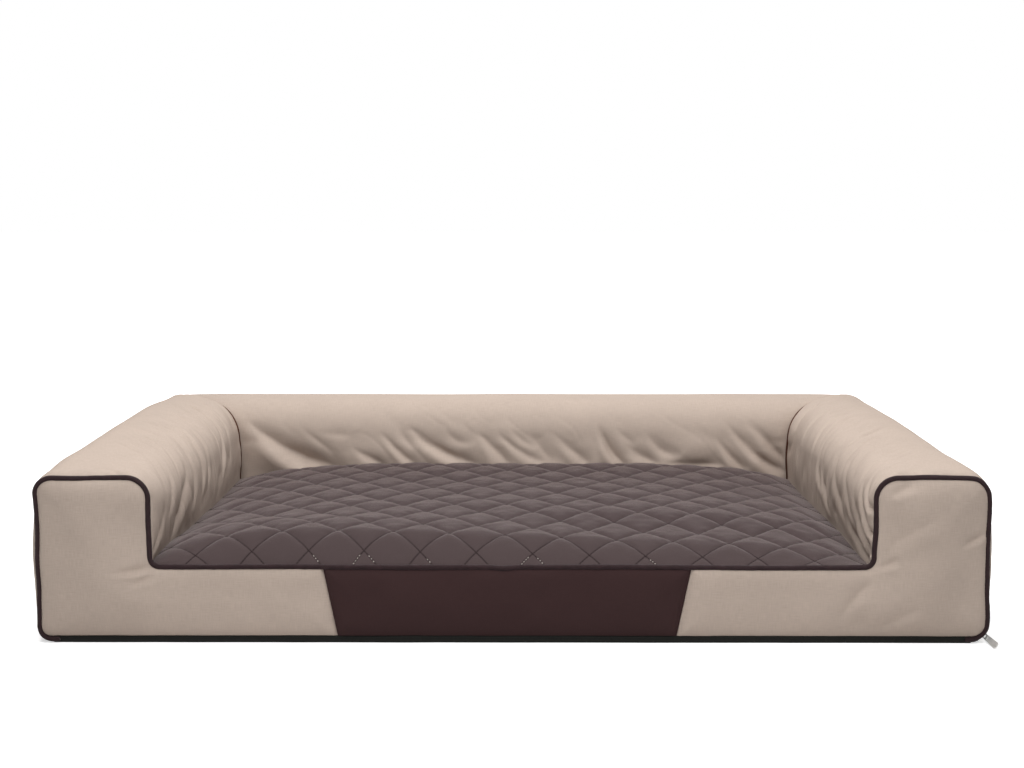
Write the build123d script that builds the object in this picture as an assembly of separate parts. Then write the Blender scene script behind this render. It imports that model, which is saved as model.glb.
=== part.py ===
from build123d import *
from collections import namedtuple
import math
import os

# An open-front dog bed: a U of padded bolsters round a quilted mattress, on a non-slip base.
# Sizes are in millimetres. X runs across the bed, Y from its front to its back, Z up,
# and the origin is the middle of the flat underside.

# Overall sizes, between the seams
bed_width = 1200.0
bed_depth = 800.0
bolster_width = 148.0
bolster_height = 219.0
cap_height = 215.0
front_lip_height = 101.0
bottom_edge_radius = 19.0

# Fits
soft_clearance = 0.3
fabric_clearance = 0.4
mitre_gap = 0.4
cut_overrun = 5.0

# Base and foam layers
base_thickness = 2.0
base_rim_height = 8.5
slab_thickness = 60.0
slab_edge_radius = 30.0
side_wall = 2.5
topper_gap = 0.3

# Bolster section: the squarer one at the front cap, the swell behind the piping, the full run.
# The filling's section has the cap's height and the run's radii, so it fits inside all three.
cap_outer_radius = 24.5
cap_inner_radius = 30.5
swell_height = 217.5
swell_outer_radius = 28.0
swell_inner_radius = 40.0
swell_side_bulge = 4.5
swell_inner_bulge = 4.0
swell_distance = 20.0
run_outer_radius = 34.0
run_inner_radius = 58.0
run_crown_drop = 2.0
run_side_bulge = 5.0
run_inner_bulge = 9.0
run_distance = 90.0
inner_leg_height = 104.0

# Piping round the front outline
piping_diameter = 7.0
piping_bore = 4.4
piping_cord_diameter = 4.0
piping_bottom_radius = 19.0
piping_outer_radius = 21.0
piping_inner_radius = 27.0
piping_notch_radius = 13.0
piping_floor_gap = 1.5
piping_tail = 6.0
piping_facets = 8
piping_bore_facets = 6

# Front panels
panel_thickness = 4.2
panel_setback = 2.8
insert_top_width = 464.0
insert_bottom_width = 428.0
insert_offset = -6.0
panel_seam_gap = 0.3

# Mattress top: heights of the quilt's sewn channels, at the arms and along the middle
quilt_thickness = 8.0
front_edge_side_height = 94.5
front_edge_crown_height = 95.5
roll_depth = 7.0
roll_side_height = 96.0
roll_crown_height = 100.5
shoulder_distance = 30.0
shoulder_side_height = 97.0
shoulder_crown_height = 103.0
rise_distance = 160.0
rise_crown_height = 107.5
middle_crown_height = 111.0
back_side_height = 95.0
back_crown_height = 110.0
middle_distance = 400.0
tuck_distance = 14.0
tuck_side_height = 93.0
tuck_crown_height = 103.0
crown_steps = 6

# Quilting: sewn lines cross in diamonds, each diamond a raised pad
diamond_width = 73.0
diamond_length = 98.0
diamond_origin_x = 22.0
diamond_origin_y = -15.0
pad_rise = 4.5
pad_root = 3.0
channel_width = 5.0
pad_slope_width = 9.0
pad_border = 7.0

# Zip along the right side's lower edge, set in the rounded edge
zip_angle = 32.0
zip_depth = 3.3
zip_back_margin = 50.4
zip_window_half = 8.0
zip_front_gap = 0.3
tape_thickness = 1.0
tape_edge = 4.2
tape_flat_end = 5.9
tape_bend_reach = 8.2
tape_bend_drop = 3.2
tape_end_reach = 11.5
tape_end_drop = 4.8

# Teeth: each row is a comb of dovetails on a moulded edge
tooth_pitch = 5.0
tooth_height = 3.0
tooth_overlap = 0.9
tooth_head_half = 1.15
tooth_neck_half = 0.85
tooth_edge_width = 0.8

# Slider
slider_length = 17.0
slider_nose_half = 6.3
slider_tail_half = 5.8
slider_plate = 1.2
slider_corner = 2.5
slider_channel_clearance = 0.3
flange_length = 11.0
diamond_half = 1.1
diamond_depth = 5.0
diamond_parallel = 3.1
bail_half_width = 1.3
bail_wall = 1.3
bail_height = 4.4
bail_tail_gap = 2.0
bail_corner = 1.2

# Pull
pull_length = 40.0
pull_top_half = 3.3
pull_tip_half = 4.8
pull_thickness = 1.6
pull_pin_diameter = 1.6
pull_pin_height = 1.8
pull_rest_angle = 10.0
pull_window_half = 1.8
pull_window_length = 6.7
pull_recess_start = 11.0
pull_recess_length = 15.0
pull_recess_rim = 1.1
pull_recess_depth = 0.4

# Stops at the ends of the zip
stop_length = 2.0
stop_inner = 2.2
stop_jaw_reach = 5.4
stop_half_height = 1.3
end_stop_length = 4.0

# Places that follow from the sizes above
half_width = bed_width / 2
front_y = -bed_depth / 2
back_y = bed_depth / 2
piping_radius = piping_diameter / 2
piping_y = front_y + piping_radius
panel_back_y = front_y + panel_setback + panel_thickness
body_front_y = panel_back_y + soft_clearance
inner_x = half_width - bolster_width
inner_back_y = back_y - bolster_width
slab_bottom_z = base_thickness + soft_clearance
slab_top_z = slab_bottom_z + slab_thickness
tuck_z = slab_top_z + soft_clearance
mattress_half = inner_x - fabric_clearance
mattress_back_y = inner_back_y - fabric_clearance
piping_side_x = half_width - piping_radius
piping_inner_x = inner_x + piping_radius
piping_top_z = cap_height - piping_radius
piping_lip_z = front_lip_height - piping_radius
piping_floor_z = piping_floor_gap + piping_radius
panel_margin = piping_radius + soft_clearance

BolsterSection = namedtuple(
    "BolsterSection", "height drop outer_radius inner_radius side_bulge inner_bulge"
)
cap_section = BolsterSection(cap_height, 0, cap_outer_radius, cap_inner_radius, 0, 0)
swell_section = BolsterSection(
    swell_height, 0, swell_outer_radius, swell_inner_radius, swell_side_bulge, swell_inner_bulge
)
run_section = BolsterSection(
    bolster_height, run_crown_drop, run_outer_radius, run_inner_radius, run_side_bulge, run_inner_bulge
)
filling_section = BolsterSection(cap_height, 0, run_outer_radius, run_inner_radius, 0, 0)


def corner_arc(centre, radius, start_degrees, end_degrees):
    """An arc of a circle in the plane, between two directions from its centre."""
    points = []
    for degrees in (start_degrees, (start_degrees + end_degrees) / 2, end_degrees):
        angle = math.radians(degrees)
        points.append((centre[0] + radius * math.cos(angle), centre[1] + radius * math.sin(angle)))
    return ThreePointArc(*points)


def bowed_edge(start, end, bow):
    """A shallow arc from start to end, bowed sideways along X, or a line where the bow is zero."""
    if bow == 0:
        return Line(start, end)
    middle = ((start[0] + end[0]) / 2 + bow, (start[1] + end[1]) / 2)
    return ThreePointArc(start, middle, end)


def rounded_loop(corners):
    """A closed face from corners given as (x, y, radius), a radius of zero being a sharp corner."""
    edges = []
    trims = []
    count = len(corners)
    for index, (x, y, radius) in enumerate(corners):
        point = Vector(x, y)
        before = Vector(*corners[index - 1][:2])
        after = Vector(*corners[(index + 1) % count][:2])
        inward = (before - point).normalized()
        outward = (after - point).normalized()
        half_angle = math.radians(inward.get_angle(outward)) / 2
        reach = radius / math.tan(half_angle)
        start = point + inward * reach
        end = point + outward * reach
        trims.append((start, end))
        if radius > 0:
            bisector = (inward + outward).normalized()
            centre = point + bisector * (radius / math.sin(half_angle))
            edges.append(ThreePointArc(start, centre - bisector * radius, end))
    for index in range(count):
        edges.append(Line(trims[index][1], trims[(index + 1) % count][0]))
    return make_face(edges)


# Bolsters

def hem_degrees():
    """Direction of the cover's lower hem, seen from the centre of the rounded bottom edge."""
    drop = bottom_edge_radius - base_rim_height - soft_clearance
    return math.degrees(math.asin(drop / bottom_edge_radius))


def bolster_top_edges(section, inset, foot_height):
    """The bolster's outline from its outer wall over the crown to its inner wall, in (inward, up)."""
    shoulder = section.height - section.drop
    outer_foot = (inset, foot_height)
    outer_top = (inset, shoulder - section.outer_radius)
    outer_centre = (section.outer_radius, shoulder - section.outer_radius)
    inner_centre = (bolster_width - section.inner_radius, shoulder - section.inner_radius)
    crown_start = (section.outer_radius, shoulder - inset)
    crown_end = (inner_centre[0], shoulder - inset)
    inner_top = (bolster_width - inset, inner_centre[1])
    inner_foot = (bolster_width - inset, inner_leg_height)
    edges = [bowed_edge(outer_foot, outer_top, -section.side_bulge)]
    edges.append(corner_arc(outer_centre, section.outer_radius - inset, 180, 90))
    if section.drop > 0:
        middle = ((crown_start[0] + crown_end[0]) / 2, section.height - inset)
        edges.append(ThreePointArc(crown_start, middle, crown_end))
    else:
        edges.append(Line(crown_start, crown_end))
    edges.append(corner_arc(inner_centre, section.inner_radius - inset, 90, 0))
    edges.append(bowed_edge(inner_top, inner_foot, section.inner_bulge))
    return edges


def hem_arc(inset):
    """The cover's rounded lower edge, from its hem up to the outer wall."""
    centre = (bottom_edge_radius, bottom_edge_radius)
    return corner_arc(centre, bottom_edge_radius - inset, 180 + hem_degrees(), 180)


def cover_outline(section):
    """The cover's outside from its hem to its tuck behind the mattress, closed straight across."""
    inner_leg = bolster_width - side_wall
    hem_inside = hem_arc(side_wall) @ 0
    edges = [hem_arc(0)]
    edges += bolster_top_edges(section, 0, bottom_edge_radius)
    edges.append(Line((bolster_width, inner_leg_height), (bolster_width, tuck_z)))
    edges.append(Polyline((bolster_width, tuck_z), (inner_leg, tuck_z), hem_inside, edges[0] @ 0))
    return make_face(edges)


def hollow_outline():
    """The space inside the cover: its filling's section, open below over the foam slab."""
    inner_leg = bolster_width - side_wall
    hem_inside = hem_arc(side_wall) @ 0
    edges = [hem_arc(side_wall)]
    edges += bolster_top_edges(filling_section, side_wall, bottom_edge_radius)
    corners = [(inner_leg, inner_leg_height), (inner_leg, -cut_overrun), (hem_inside.X, -cut_overrun)]
    edges.append(Polyline(*corners, hem_inside))
    return make_face(edges)


def core_outline():
    """The fibre core's closed outline, standing on the foam slab inside the cover."""
    inset = side_wall + fabric_clearance
    inner_leg = bolster_width - inset
    edges = bolster_top_edges(filling_section, inset, tuck_z)
    edges.append(Polyline((inner_leg, inner_leg_height), (inner_leg, tuck_z), (inset, tuck_z)))
    return make_face(edges)


def mitre_block(shift):
    """A block over the back bolster, bounded by the two 45 degree corner seams."""
    reach = bolster_width + cut_overrun + run_inner_bulge
    corners = [
        (half_width + cut_overrun, back_y + cut_overrun),
        (half_width - reach, back_y - reach),
        (reach - half_width, back_y - reach),
        (-half_width - cut_overrun, back_y + cut_overrun),
        (-half_width - cut_overrun, back_y + reach),
        (half_width + cut_overrun, back_y + reach),
    ]
    face = make_face(Polyline(*corners, close=True))
    return Pos(0, shift, 0) * extrude(face, bolster_height + cut_overrun)


def arm_run(face, start_y):
    """A section of the right arm run back from start_y, up to the corner seam."""
    plane = Plane(origin=(half_width, start_y, 0), x_dir=(-1, 0, 0), z_dir=(0, 1, 0))
    return extrude(plane * face, back_y + cut_overrun - start_y) - mitre_block(-mitre_gap / 2)


def arm_cover():
    """The right arm's cover: square at the front cap, swelling behind it, then an even run."""
    stations = [
        (body_front_y, cap_section),
        (body_front_y + swell_distance, swell_section),
        (body_front_y + run_distance, run_section),
    ]
    faces = []
    for y, section in stations:
        plane = Plane(origin=(half_width, y, 0), x_dir=(-1, 0, 0), z_dir=(0, 1, 0))
        faces.append(plane * cover_outline(section))
    run = arm_run(cover_outline(run_section), body_front_y + run_distance)
    return loft(faces, ruled=True) + run - arm_run(hollow_outline(), body_front_y - cut_overrun)


def arm_core():
    """The right arm's fibre filling."""
    return arm_run(core_outline(), body_front_y)


def back_run(face):
    """A section of the back bolster run across the bed, between the two corner seams."""
    plane = Plane(origin=(half_width + cut_overrun, back_y, 0), x_dir=(0, -1, 0), z_dir=(-1, 0, 0))
    return extrude(plane * face, bed_width + 2 * cut_overrun) & mitre_block(mitre_gap / 2)


def back_cover():
    """The back bolster's cover."""
    return back_run(cover_outline(run_section) - hollow_outline())


# Base and foam

def edge_block(inset, bottom_z, edge_radius, height):
    """A block over the bed's plan with its lower side and back edges rounded."""
    width = bed_width - 2 * inset
    depth = bed_depth - inset - (body_front_y - front_y)
    block = Pos(0, body_front_y, bottom_z) * Box(
        width, depth, height, align=(Align.CENTER, Align.MIN, Align.MIN)
    )
    lower_edges = block.faces().sort_by(Axis.Z)[0].edges().sort_by(Axis.Y)
    return fillet(lower_edges[1:], edge_radius)


def base_panel():
    """Non-slip sheet with an upturned rim, and a black strip that shows under the front panel."""
    height = bottom_edge_radius + cut_overrun
    outer = edge_block(0, 0, bottom_edge_radius, height)
    inner = edge_block(base_thickness, base_thickness, bottom_edge_radius - base_thickness, height)
    trim = Pos(0, 0, base_rim_height) * Box(
        bed_width + cut_overrun, bed_depth + cut_overrun, height,
        align=(Align.CENTER, Align.CENTER, Align.MIN),
    )
    strip_half = piping_side_x - piping_bottom_radius
    strip = Pos(0, body_front_y - soft_clearance, 0) * Box(
        2 * strip_half, panel_thickness, base_rim_height, align=(Align.CENTER, Align.MAX, Align.MIN)
    )
    front_edges = strip.edges().filter_by(Axis.X).group_by(Axis.Y)[0]
    strip = fillet(front_edges, base_thickness / 2)
    bridge = Pos(0, body_front_y + base_thickness, 0) * Box(
        2 * strip_half, panel_thickness, base_thickness, align=(Align.CENTER, Align.MAX, Align.MIN)
    )
    sheet = outer - inner - trim + bridge + strip
    return sheet - piping_tube(piping_diameter + 2 * soft_clearance, piping_facets) - zip_window()


def foam_slab():
    """The orthopaedic foam slab that everything stands on."""
    return edge_block(side_wall + fabric_clearance, slab_bottom_z, slab_edge_radius, slab_thickness)


# Piping and front panels

def piping_corners(offset):
    """Corners of the bed's front outline, offset inwards from the piping's centre line."""
    side = piping_side_x - offset
    inner = piping_inner_x + offset
    top = piping_top_z - offset
    lip = piping_lip_z - offset
    return side, inner, top, lip


def piping_path():
    """The piping's centre line, from the left bottom corner over both arms to the right one."""
    side, inner, top, lip = piping_corners(0)
    tail_x = side - piping_bottom_radius - piping_tail
    half = [(tail_x, piping_floor_z), (side, piping_floor_z), (side, top), (inner, top), (inner, lip)]
    points = half + [(-x, z) for x, z in reversed(half)]
    half_radii = [piping_bottom_radius, piping_outer_radius, piping_inner_radius, piping_notch_radius]
    radii = half_radii + half_radii[::-1]
    plane = Plane(origin=(0, piping_y, 0), x_dir=(1, 0, 0), z_dir=(0, -1, 0))
    return plane * FilletPolyline(*points, radius=radii)


def piping_tube(diameter, sides):
    """A many-sided round swept along the piping's centre line."""
    path = piping_path()
    section = RegularPolygon(diameter / 2, sides)
    return sweep(Plane(origin=path @ 0, z_dir=path % 0) * section, path=path)


def front_piping():
    """The piping's tape, hollow for its cord."""
    path = piping_path()
    section = RegularPolygon(piping_radius, piping_facets)
    section -= RegularPolygon(piping_bore / 2, piping_bore_facets)
    return sweep(Plane(origin=path @ 0, z_dir=path % 0) * section, path=path)


def front_plate(face):
    """A flat front piece: its outline in (x, z), set back behind the piping's front."""
    plane = Plane(origin=(0, panel_back_y, 0), x_dir=(1, 0, 0), z_dir=(0, -1, 0))
    return extrude(plane * face, panel_thickness)


def front_wing(side_sign):
    """One L-shaped beige panel: the arm's end and the low strip up to the insert's slanted seam."""
    side, inner, top, lip = piping_corners(panel_margin)
    bottom = base_rim_height + soft_clearance
    seam_top = insert_top_width / 2 + side_sign * insert_offset + panel_seam_gap
    seam_bottom = insert_bottom_width / 2 + side_sign * insert_offset + panel_seam_gap
    corners = [
        (seam_bottom, bottom, 0),
        (side, bottom, piping_bottom_radius - panel_margin),
        (side, top, piping_outer_radius - panel_margin),
        (inner, top, piping_inner_radius - panel_margin),
        (inner, lip, piping_notch_radius + panel_margin),
        (seam_top, lip, 0),
    ]
    face = rounded_loop(corners)
    wing = front_plate(face)
    if side_sign < 0:
        wing = mirror(wing, about=Plane.YZ)
    return wing


def front_insert():
    """The dark trapezoid in the middle of the front."""
    lip = piping_corners(panel_margin)[3]
    bottom = base_rim_height + soft_clearance
    corners = [
        (insert_offset - insert_bottom_width / 2, bottom),
        (insert_offset + insert_bottom_width / 2, bottom),
        (insert_offset + insert_top_width / 2, lip),
        (insert_offset - insert_top_width / 2, lip),
    ]
    return front_plate(make_face(Polyline(*corners, close=True)))


# Mattress

def mattress_stations():
    """Along the bed: (y, height at the arms, height along the middle) of the sewn channels."""
    front = body_front_y
    return [
        (front, front_edge_side_height, front_edge_crown_height),
        (front + roll_depth, roll_side_height, roll_crown_height),
        (front + shoulder_distance, shoulder_side_height, shoulder_crown_height),
        (front + rise_distance, shoulder_side_height, rise_crown_height),
        (front + middle_distance, shoulder_side_height, middle_crown_height),
        (mattress_back_y - tuck_distance, back_side_height, back_crown_height),
        (mattress_back_y, tuck_side_height, tuck_crown_height),
    ]


def flat_sided(outlines):
    """A solid closed by flat faces, each given by its corners."""
    faces = [make_face(Polyline(*corners, close=True)) for corners in outlines]
    return Solid(Shell(faces))


def crown_row(y, side_z, crown_z):
    """Points over the mattress's crown from left to right at one place along the bed."""
    points = []
    for step in range(crown_steps + 1):
        share = 2 * step / crown_steps - 1
        points.append((share * mattress_half, y, side_z + (crown_z - side_z) * (1 - share**2)))
    return points


def mattress_form(drop, foot_z):
    """The crowned mattress from foot_z up to the channel heights, lowered by drop."""
    rows = [crown_row(y, side_z - drop, crown_z - drop) for y, side_z, crown_z in mattress_stations()]
    front_y, back_y = rows[0][0][1], rows[-1][0][1]
    left_front = (-mattress_half, front_y, foot_z)
    right_front = (mattress_half, front_y, foot_z)
    left_back = (-mattress_half, back_y, foot_z)
    right_back = (mattress_half, back_y, foot_z)
    outlines = [
        [left_front, right_front, right_back, left_back],
        rows[0] + [right_front, left_front],
        rows[-1] + [right_back, left_back],
        [row[0] for row in rows] + [left_back, left_front],
        [row[-1] for row in rows] + [right_back, right_front],
    ]
    for near, far in zip(rows, rows[1:]):
        for step in range(crown_steps):
            outlines.append([near[step], near[step + 1], far[step + 1]])
            outlines.append([near[step], far[step + 1], far[step]])
    return flat_sided(outlines)


def channel_height(x, y):
    """Height of the quilt's sewn channels at a place on the mattress."""
    stations = mattress_stations()
    index = 0
    while index < len(stations) - 2 and y > stations[index + 1][0]:
        index += 1
    y0, side0, crown0 = stations[index]
    y1, side1, crown1 = stations[index + 1]
    share = (y - y0) / (y1 - y0)
    side_z = side0 + (side1 - side0) * share
    crown_z = crown0 + (crown1 - crown0) * share
    return side_z + (crown_z - side_z) * (1 - (x / mattress_half) ** 2)


def diamond_corners(share, z):
    """Corners of a quilting diamond shrunk to a share of its size, at a height."""
    x = diamond_width / 2 * share
    y = diamond_length / 2 * share
    return [(x, 0, z), (0, y, z), (-x, 0, z), (0, -y, z)]


def quilt_pad():
    """One raised diamond: sloping sides from the channel up to a flat top, rooted in the quilt."""
    low_share = 1 - (channel_width - pad_root) / diamond_width
    high_share = 1 - (channel_width + 2 * pad_slope_width) / diamond_width
    low = diamond_corners(low_share, -pad_root)
    high = diamond_corners(high_share, pad_rise)
    outlines = [low, high]
    for index in range(len(low)):
        outlines.append([low[index - 1], low[index], high[index], high[index - 1]])
    return flat_sided(outlines)


def pad_places():
    """Centres of the diamonds that reach over the mattress."""
    rows = math.ceil(bed_depth / diamond_length)
    columns = math.ceil(half_width / diamond_width)
    places = []
    for row in range(-2 * rows, 2 * rows + 1):
        shift = (row % 2) / 2
        y = diamond_origin_y + row * diamond_length / 2
        for column in range(-columns - 1, columns + 1):
            places.append((diamond_origin_x + (column + 1 / 2 - shift) * diamond_width, y))
    return places


def channel_slopes(x, y):
    """Slopes of the sewn channels across and along the bed at a place on the mattress."""
    step = channel_width
    across = channel_height(x + step, y) - channel_height(x - step, y)
    along = channel_height(x, y + step) - channel_height(x, y - step)
    return across / (2 * step), along / (2 * step)


def quilted_top():
    """The quilted cover of the mattress: a crowned layer with rows of raised diamond pads."""
    layer = mattress_form(0, tuck_z - soft_clearance) - mattress_form(quilt_thickness, 0)
    high_x = mattress_half - pad_border
    low_y = body_front_y + pad_border
    high_y = mattress_back_y - pad_border
    clip = Pos(0, (low_y + high_y) / 2, bolster_height / 2) * Box(
        2 * high_x, high_y - low_y, bolster_height
    )
    reach_x = diamond_width / 2
    reach_y = diamond_length / 2
    pad = quilt_pad()
    pads = []
    for x, y in pad_places():
        over_x = max(0, abs(x) - high_x) / reach_x
        over_y = max(0, low_y - y, y - high_y) / reach_y
        if over_x + over_y > 1 - pad_border / reach_x:
            continue
        place_x = max(-high_x, min(high_x, x))
        place_y = max(low_y, min(high_y, y))
        slope_x, slope_y = channel_slopes(place_x, place_y)
        height = channel_height(place_x, place_y) + slope_x * (x - place_x) + slope_y * (y - place_y)
        normal = Vector(-slope_x, -slope_y, 1).normalized()
        piece = Plane(origin=(x, y, height), x_dir=(1, 0, slope_x), z_dir=normal).location * pad
        if abs(x) + reach_x > high_x or y - reach_y < low_y or y + reach_y > high_y:
            piece = piece & clip
        pads.extend(piece.solids())
    return layer.fuse(*pads)


def foam_topper():
    """The softer foam layer under the quilt, crowned like it."""
    return mattress_form(quilt_thickness + topper_gap, slab_top_z + soft_clearance)


# Zip

def zip_plane():
    """The zip's plane in the right lower edge: X across it towards the base, Y along it, Z outwards."""
    angle = math.radians(zip_angle)
    outward = Vector(math.cos(angle), 0, -math.sin(angle))
    across = Vector(-math.sin(angle), 0, -math.cos(angle))
    centre = Vector(half_width - bottom_edge_radius, 0, bottom_edge_radius)
    return Plane(origin=centre + outward * (bottom_edge_radius - zip_depth), x_dir=across, z_dir=outward)


zip_front_y = body_front_y + zip_front_gap
zip_back_y = back_y - zip_back_margin
zip_length = zip_back_y - zip_front_y
slider_nose_y = zip_front_y + stop_length + zip_front_gap
slider_tail_y = slider_nose_y + slider_length
teeth_front_y = slider_nose_y + diamond_depth + zip_front_gap
channel_half = tooth_height / 2 + slider_channel_clearance
plate_top = channel_half + slider_plate
pull_pin_y = slider_nose_y + bail_wall + soft_clearance + pull_pin_diameter / 2
pull_pin_z = plate_top + pull_pin_height


def zip_block(x_low, x_high, y_low, y_high, z_low, z_high):
    """A block in the zip's own frame."""
    size = (x_high - x_low, y_high - y_low, z_high - z_low)
    centre = ((x_low + x_high) / 2, (y_low + y_high) / 2, (z_low + z_high) / 2)
    return Pos(*centre) * Box(*size)


def zip_window():
    """The gap between the cover's hem and the base's rim where the zip shows."""
    deep = bottom_edge_radius / 2
    block = zip_block(-zip_window_half, zip_window_half, body_front_y - cut_overrun,
                      zip_back_y + soft_clearance, -deep, deep)
    return zip_plane() * block


def zip_tape(side_sign):
    """One woven tape: flat beside the teeth, then folded in behind the hem or the rim."""
    line = Polyline(
        (side_sign * tape_edge, 0),
        (side_sign * tape_flat_end, 0),
        (side_sign * tape_bend_reach, -tape_bend_drop),
        (side_sign * tape_end_reach, -tape_end_drop),
    )
    strip = trace(line, tape_thickness)
    flush = zip_block(-tape_edge, tape_edge, 0, zip_length, -tape_thickness, tape_thickness)
    section_plane = Plane(origin=(0, zip_back_y, 0), x_dir=(1, 0, 0), z_dir=(0, -1, 0))
    tape = extrude(section_plane * strip, zip_length)
    return zip_plane() * (tape - Pos(0, zip_front_y, 0) * flush)


def zip_teeth(side_sign):
    """One row of teeth: a moulded edge with dovetails that reach past the zip's middle."""
    edge_x = tape_edge - tooth_edge_width
    last_y = zip_back_y - end_stop_length - zip_front_gap
    first_y = teeth_front_y
    offset = tooth_pitch / 2 if side_sign > 0 else 0
    count = int((last_y - first_y - tooth_pitch / 2 - 2 * tooth_head_half) / tooth_pitch) + 1
    points = [(tape_edge, last_y), (tape_edge, first_y), (edge_x, first_y)]
    for index in range(count):
        middle = first_y + tooth_head_half + offset + index * tooth_pitch
        points.append((edge_x, middle - tooth_neck_half))
        points.append((-tooth_overlap, middle - tooth_head_half))
        points.append((-tooth_overlap, middle + tooth_head_half))
        points.append((edge_x, middle + tooth_neck_half))
    points.append((edge_x, last_y))
    outline = [(side_sign * x, y) for x, y in points]
    face = make_face(Polyline(*outline, close=True))
    row = extrude(Pos(0, 0, -tooth_height / 2) * face, tooth_height, dir=(0, 0, 1))
    return zip_plane() * row


def top_stops():
    """A clamped stop on the front end of each tape."""
    stops = []
    for side_sign in (-1, 1):
        low, high = sorted((side_sign * stop_inner, side_sign * stop_jaw_reach))
        tape_end = stop_jaw_reach + cut_overrun
        tape_low, tape_high = sorted((side_sign * tape_edge, side_sign * tape_end))
        jaw = zip_block(low, high, zip_front_y, zip_front_y + stop_length,
                        -stop_half_height, stop_half_height)
        slot = zip_block(tape_low, tape_high, zip_front_y - cut_overrun, zip_front_y + cut_overrun,
                         -tape_thickness / 2, tape_thickness / 2)
        stops.append(zip_plane() * (jaw - slot))
    return Compound(children=stops)


def bottom_stop():
    """The stop that ties both tapes together behind the last teeth."""
    low_y = zip_back_y - end_stop_length
    block = zip_block(-stop_jaw_reach, stop_jaw_reach, low_y, zip_back_y,
                      -tooth_height / 2, tooth_height / 2)
    for side_sign in (-1, 1):
        tape_end = stop_jaw_reach + cut_overrun
        tape_low, tape_high = sorted((side_sign * tape_edge, side_sign * tape_end))
        block -= zip_block(tape_low, tape_high, low_y - cut_overrun, zip_back_y + cut_overrun,
                           -tape_thickness / 2, tape_thickness / 2)
    return zip_plane() * block


def slider_plate_face():
    """The slider's outline from above: wider at the nose, with rounded corners."""
    corners = [
        (-slider_nose_half, slider_nose_y, slider_corner),
        (slider_nose_half, slider_nose_y, slider_corner),
        (slider_tail_half, slider_tail_y, slider_corner / 2),
        (-slider_tail_half, slider_tail_y, slider_corner / 2),
    ]
    return rounded_loop(corners)


def slider_bail():
    """The arch on the slider that the pull hangs from."""
    low_y = slider_nose_y
    high_y = slider_tail_y - bail_tail_gap
    outer = [
        (low_y, plate_top, 0),
        (high_y, plate_top, 0),
        (high_y, plate_top + bail_height, bail_corner + bail_wall),
        (low_y, plate_top + bail_height, bail_corner + bail_wall),
    ]
    inner = [
        (low_y + bail_wall, plate_top, 0),
        (high_y - bail_wall, plate_top, 0),
        (high_y - bail_wall, plate_top + bail_height - bail_wall, bail_corner),
        (low_y + bail_wall, plate_top + bail_height - bail_wall, bail_corner),
    ]
    side_plane = Plane(origin=(-bail_half_width, 0, 0), x_dir=(0, 1, 0), z_dir=(1, 0, 0))
    face = rounded_loop(outer) - rounded_loop(inner)
    return extrude(side_plane * face, 2 * bail_half_width)


def slider():
    """Two plates joined by the wedge at the nose, flanged round the teeth, with the bail on top."""
    face = slider_plate_face()
    outer = extrude(Pos(0, 0, channel_half) * face, slider_plate, dir=(0, 0, 1))
    inner = extrude(Pos(0, 0, -plate_top) * face, slider_plate, dir=(0, 0, 1))
    wedge_outline = [
        (-diamond_half, slider_nose_y),
        (diamond_half, slider_nose_y),
        (diamond_half, slider_nose_y + diamond_parallel),
        (0, slider_nose_y + diamond_depth),
        (-diamond_half, slider_nose_y + diamond_parallel),
    ]
    wedge_face = Pos(0, 0, -channel_half) * make_face(Polyline(*wedge_outline, close=True))
    body = outer + inner + extrude(wedge_face, 2 * channel_half, dir=(0, 0, 1)) + slider_bail()
    flange_low = tape_edge + slider_channel_clearance
    slot_half = tape_thickness / 2 + slider_channel_clearance
    flange_front = slider_tail_y - flange_length
    for side_sign in (-1, 1):
        low, high = sorted((side_sign * flange_low, side_sign * slider_tail_half))
        flange_back = slider_tail_y - slider_corner
        body += zip_block(low, high, flange_front, flange_back, slot_half, channel_half)
        body += zip_block(low, high, flange_front, flange_back, -channel_half, -slot_half)
    return zip_plane() * body


def pull_plane():
    """The pull's own plane: X across it, Y from the pin to the tip, Z out of its face."""
    zipper = zip_plane()
    pin = zipper.from_local_coords(Vector(0, pull_pin_y, pull_pin_z))
    angle = math.radians(pull_rest_angle)
    along = zipper.y_dir * -math.cos(angle) + zipper.z_dir * math.sin(angle)
    across = zipper.x_dir
    return Plane(origin=pin, x_dir=across, z_dir=across.cross(along))


def zip_pull():
    """The tapered pull: a pin under the bail, a window round it and a recess on each face."""
    top_y = -pull_pin_diameter / 2
    half = pull_thickness / 2
    corners = [
        (-pull_top_half, top_y, pull_pin_diameter),
        (pull_top_half, top_y, pull_pin_diameter),
        (pull_tip_half, pull_length, pull_tip_half - soft_clearance),
        (-pull_tip_half, pull_length, pull_tip_half - soft_clearance),
    ]
    plate = extrude(Pos(0, 0, -half) * rounded_loop(corners), pull_thickness, dir=(0, 0, 1))
    window_low = -pull_pin_diameter
    window = Pos(0, (window_low + pull_window_length) / 2, 0) * Box(
        2 * pull_window_half, pull_window_length - window_low, 2 * pull_thickness
    )
    pin = Rot(0, 90, 0) * Cylinder(pull_pin_diameter / 2, 2 * pull_top_half - pull_pin_diameter)
    recess_half = pull_top_half - pull_recess_rim
    recess = [
        (-recess_half, pull_recess_start, recess_half / 2),
        (recess_half, pull_recess_start, recess_half / 2),
        (recess_half, pull_recess_start + pull_recess_length, recess_half / 2),
        (-recess_half, pull_recess_start + pull_recess_length, recess_half / 2),
    ]
    depth = half - pull_recess_depth
    recess_face = rounded_loop(recess)
    upper = extrude(Pos(0, 0, depth) * recess_face, pull_thickness, dir=(0, 0, 1))
    lower = extrude(Pos(0, 0, -depth) * recess_face, pull_thickness, dir=(0, 0, -1))
    return pull_plane() * (plate - window - upper - lower + pin)


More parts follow.
